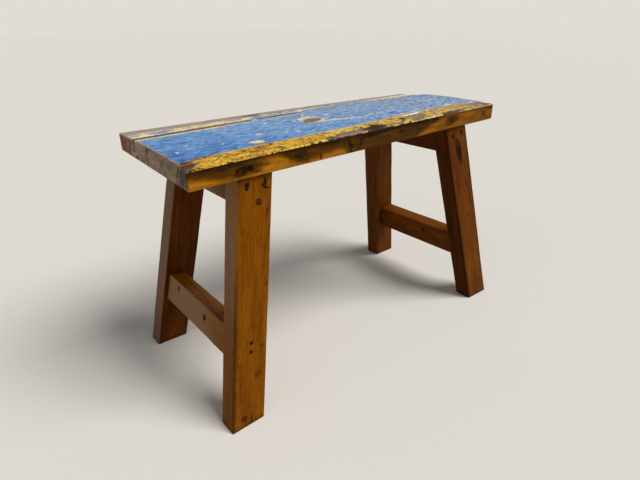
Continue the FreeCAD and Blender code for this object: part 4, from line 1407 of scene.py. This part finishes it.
# %% Turned shapes
TURNED_COLUMNS = 48
HEAD_RADII = np.array([0.12, 0.4, 0.7, 1.0, 1.3, 1.6, 1.9, 2.2, 2.5, 2.8, 3.3, 3.9, 4.3, 4.5])
CROSS_ARM, CROSS_ROOT, CROSS_REACH, CROSS_DEPTH = 0.55, 1.6, 2.3, 1.5
POINT_RADIUS = 0.2
OFF_HEAD = 99                 # a spread no cross reaches, for the rows below the head
TURN_ANGLE = np.linspace(0, 2 * math.pi, TURNED_COLUMNS, endpoint=False)
PLUG_RADII = np.array([0.2, 1.2, 2.4, 3.4, 4.2, PLUG_RADIUS - 0.15, PLUG_RADIUS - 0.05, PLUG_RADIUS,
                       PLUG_RADIUS, 0.2])
PLUG_DEPTHS = np.array([0.05, 0.06, 0.09, 0.13, 0.2, 0.32, 0.5, 0.8, PLUG_LENGTH, PLUG_LENGTH])


def turned(place, axis, across, radii, depths, sink=0):
    """A skin turned about an axis: place plus radius times a circling spoke plus depth along the axis."""
    spokes = np.cos(TURN_ANGLE)[:, None] * across + np.sin(TURN_ANGLE)[:, None] * np.cross(axis, across)
    depth = np.asarray(depths, float)[:, None] + sink + 0 * TURN_ANGLE
    return place + np.asarray(radii, float)[:, None, None] * spokes + depth[..., None] * axis


def screw_skin(place, axis, across, length):
    """A countersunk screw: flat head with a pressed cross, cone, shank and point."""
    radii = [*HEAD_RADII, SCREW_HEAD, SCREW_SHANK, SCREW_SHANK, SCREW_SHANK, POINT_RADIUS]
    depths = [*(0 * HEAD_RADII), 0.25, SCREW_HEAD_DEPTH, SCREW_HEAD_DEPTH + 1, length - SCREW_TIP, length]
    spread = np.array([*HEAD_RADII, *[OFF_HEAD] * (len(radii) - len(HEAD_RADII))])[:, None]
    from_arm = np.minimum(np.abs(spread * np.cos(TURN_ANGLE)), np.abs(spread * np.sin(TURN_ANGLE)))
    arm = 1 - ease(from_arm, CROSS_ARM, CROSS_ARM + 0.3)
    sink = CROSS_DEPTH * arm * (1 - ease(spread, CROSS_ROOT, CROSS_REACH))
    return turned(place, axis, across, radii, depths, sink)


print("a screw head has", len(HEAD_RADII), "rows of", TURNED_COLUMNS, "points")

# %% [markdown]
# ## Finishes of screws and plugs
# The screw heads were lacquered over with the legs and have caught dirt since, so little of the plated
# steel still glints. The plugs are slices of dowel: they show end grain, which drinks more lacquer and
# goes darker than the leg round it. Both are small, so a noise or two over the bench's own places is
# enough.

# %% Darkened steel and lacquered end grain
GRIME_PER_METRE = 420         # spots of dirt about 2.4 mm wide
PORES_PER_METRE, BANDS_PER_METRE = 1100, 260    # pores about 0.9 mm wide, bands about 4 mm


def darkened_screw_steel():
    """Old zinc-plated steel under dirt and lacquer: brown-black, dull, a little metal glinting through."""
    material, tree = new_material("dirt_darkened_screw_steel")
    place = add_node(tree, "ShaderNodeTexCoord", output="Object")
    darkening = add_node(tree, "ShaderNodeTexNoise", inputs={
        "Vector": place, "Scale": GRIME_PER_METRE, "Detail": 3})
    base = add_node(tree, "ShaderNodeValToRGB", inputs={"Fac": darkening},
                    stops=((0.35, "#1E0F06"), (0.72, "#5C3A1E"), (0.55, "#391D0A")))
    finish_with(tree, base, 0.55, darkening, Metallic=0.15, Specular_IOR_Level=0.1)
    return material


def plugged_end_grain():
    """A dowel's end under lacquer: darker than the leg, with a few rings and open pores."""
    material, tree = new_material("lacquered_plug_end_grain")
    place = add_node(tree, "ShaderNodeTexCoord", output="Object")
    pores, bands = (
        add_node(tree, "ShaderNodeTexNoise", inputs={"Vector": place, "Scale": scale, "Detail": 2})
        for scale in (PORES_PER_METRE, BANDS_PER_METRE))
    shade = summed(tree, [(pores, 0.6), (bands, 0.6)], -0.1)
    base = add_node(tree, "ShaderNodeValToRGB", inputs={"Fac": shade},
                    stops=((0.35, "#241002"), (0.75, "#6E4010"), (0.52, "#482404")))
    finish_with(tree, base, 0.4, pores, Specular_IOR_Level=0.05)
    return material


SCREW_STEEL, PLUG_WOOD = darkened_screw_steel(), plugged_end_grain()
print("fixings:", SCREW_STEEL.name, PLUG_WOOD.name)

# %% [markdown]
# ## Driving the screws
# Each leg takes two screws into the rail and two into the stretcher, driven square to its outer face, and
# each rail takes two long ones up into the plank. Their places come from the same frame formula as the
# legs, so heads and recesses always agree. The plugs are set flush in the front-left leg.


# %% Drive the screws and set the plugs
def on_leg(end, side, spot):
    """Bench place of a spot on a leg's outer face."""
    return leg_line(end, side, spot[0], LEG_HALF_WIDTH, spot[1])


for (end_name, end), (side_name, side) in itertools.product(ENDS.items(), SIDES.items()):
    corner = f"{side_name}_{end_name}"
    across = np.array([math.cos(LEAN), 0, end * math.sin(LEAN)])
    inward = np.array([end * math.sin(SPLAY) * math.sin(LEAN), -side * math.cos(SPLAY),
                       -math.sin(SPLAY) * math.cos(LEAN)])
    screws = [screw_skin(on_leg(end, side, spot) + SCREW_RECESS * inward, inward, across, FRAME_SCREW)
              for spot in leg_spots(end_name)]
    for node, skins in ((f"rail_screws_{corner}", screws[:2]), (f"stretcher_screws_{corner}", screws[2:])):
        put_piece(f"{node}_steel", skins, [SCREW_STEEL], node)
    if corner == "front_left":
        plugs = [turned(on_leg(end, side, spot), inward, across, PLUG_RADII, PLUG_DEPTHS)
                 for spot in PLUG_SPOTS]
        put_piece("hole_plugs_wood", plugs, [PLUG_WOOD], "hole_plugs")

for end_name, end in ENDS.items():
    upward = np.array([-end * math.sin(LEAN), 0, math.cos(LEAN)])
    across = np.array([math.cos(LEAN), 0, end * math.sin(LEAN)])
    screws = [screw_skin(from_frame(end, 0, y, SEAT_SCREW_RECESS - RAIL_HEIGHT), upward, across, SEAT_SCREW)
              for y in SEAT_HOLES["rail"]]
    node = f"seat_screws_{end_name}"
    put_piece(f"{node}_steel", screws, [SCREW_STEEL], node)
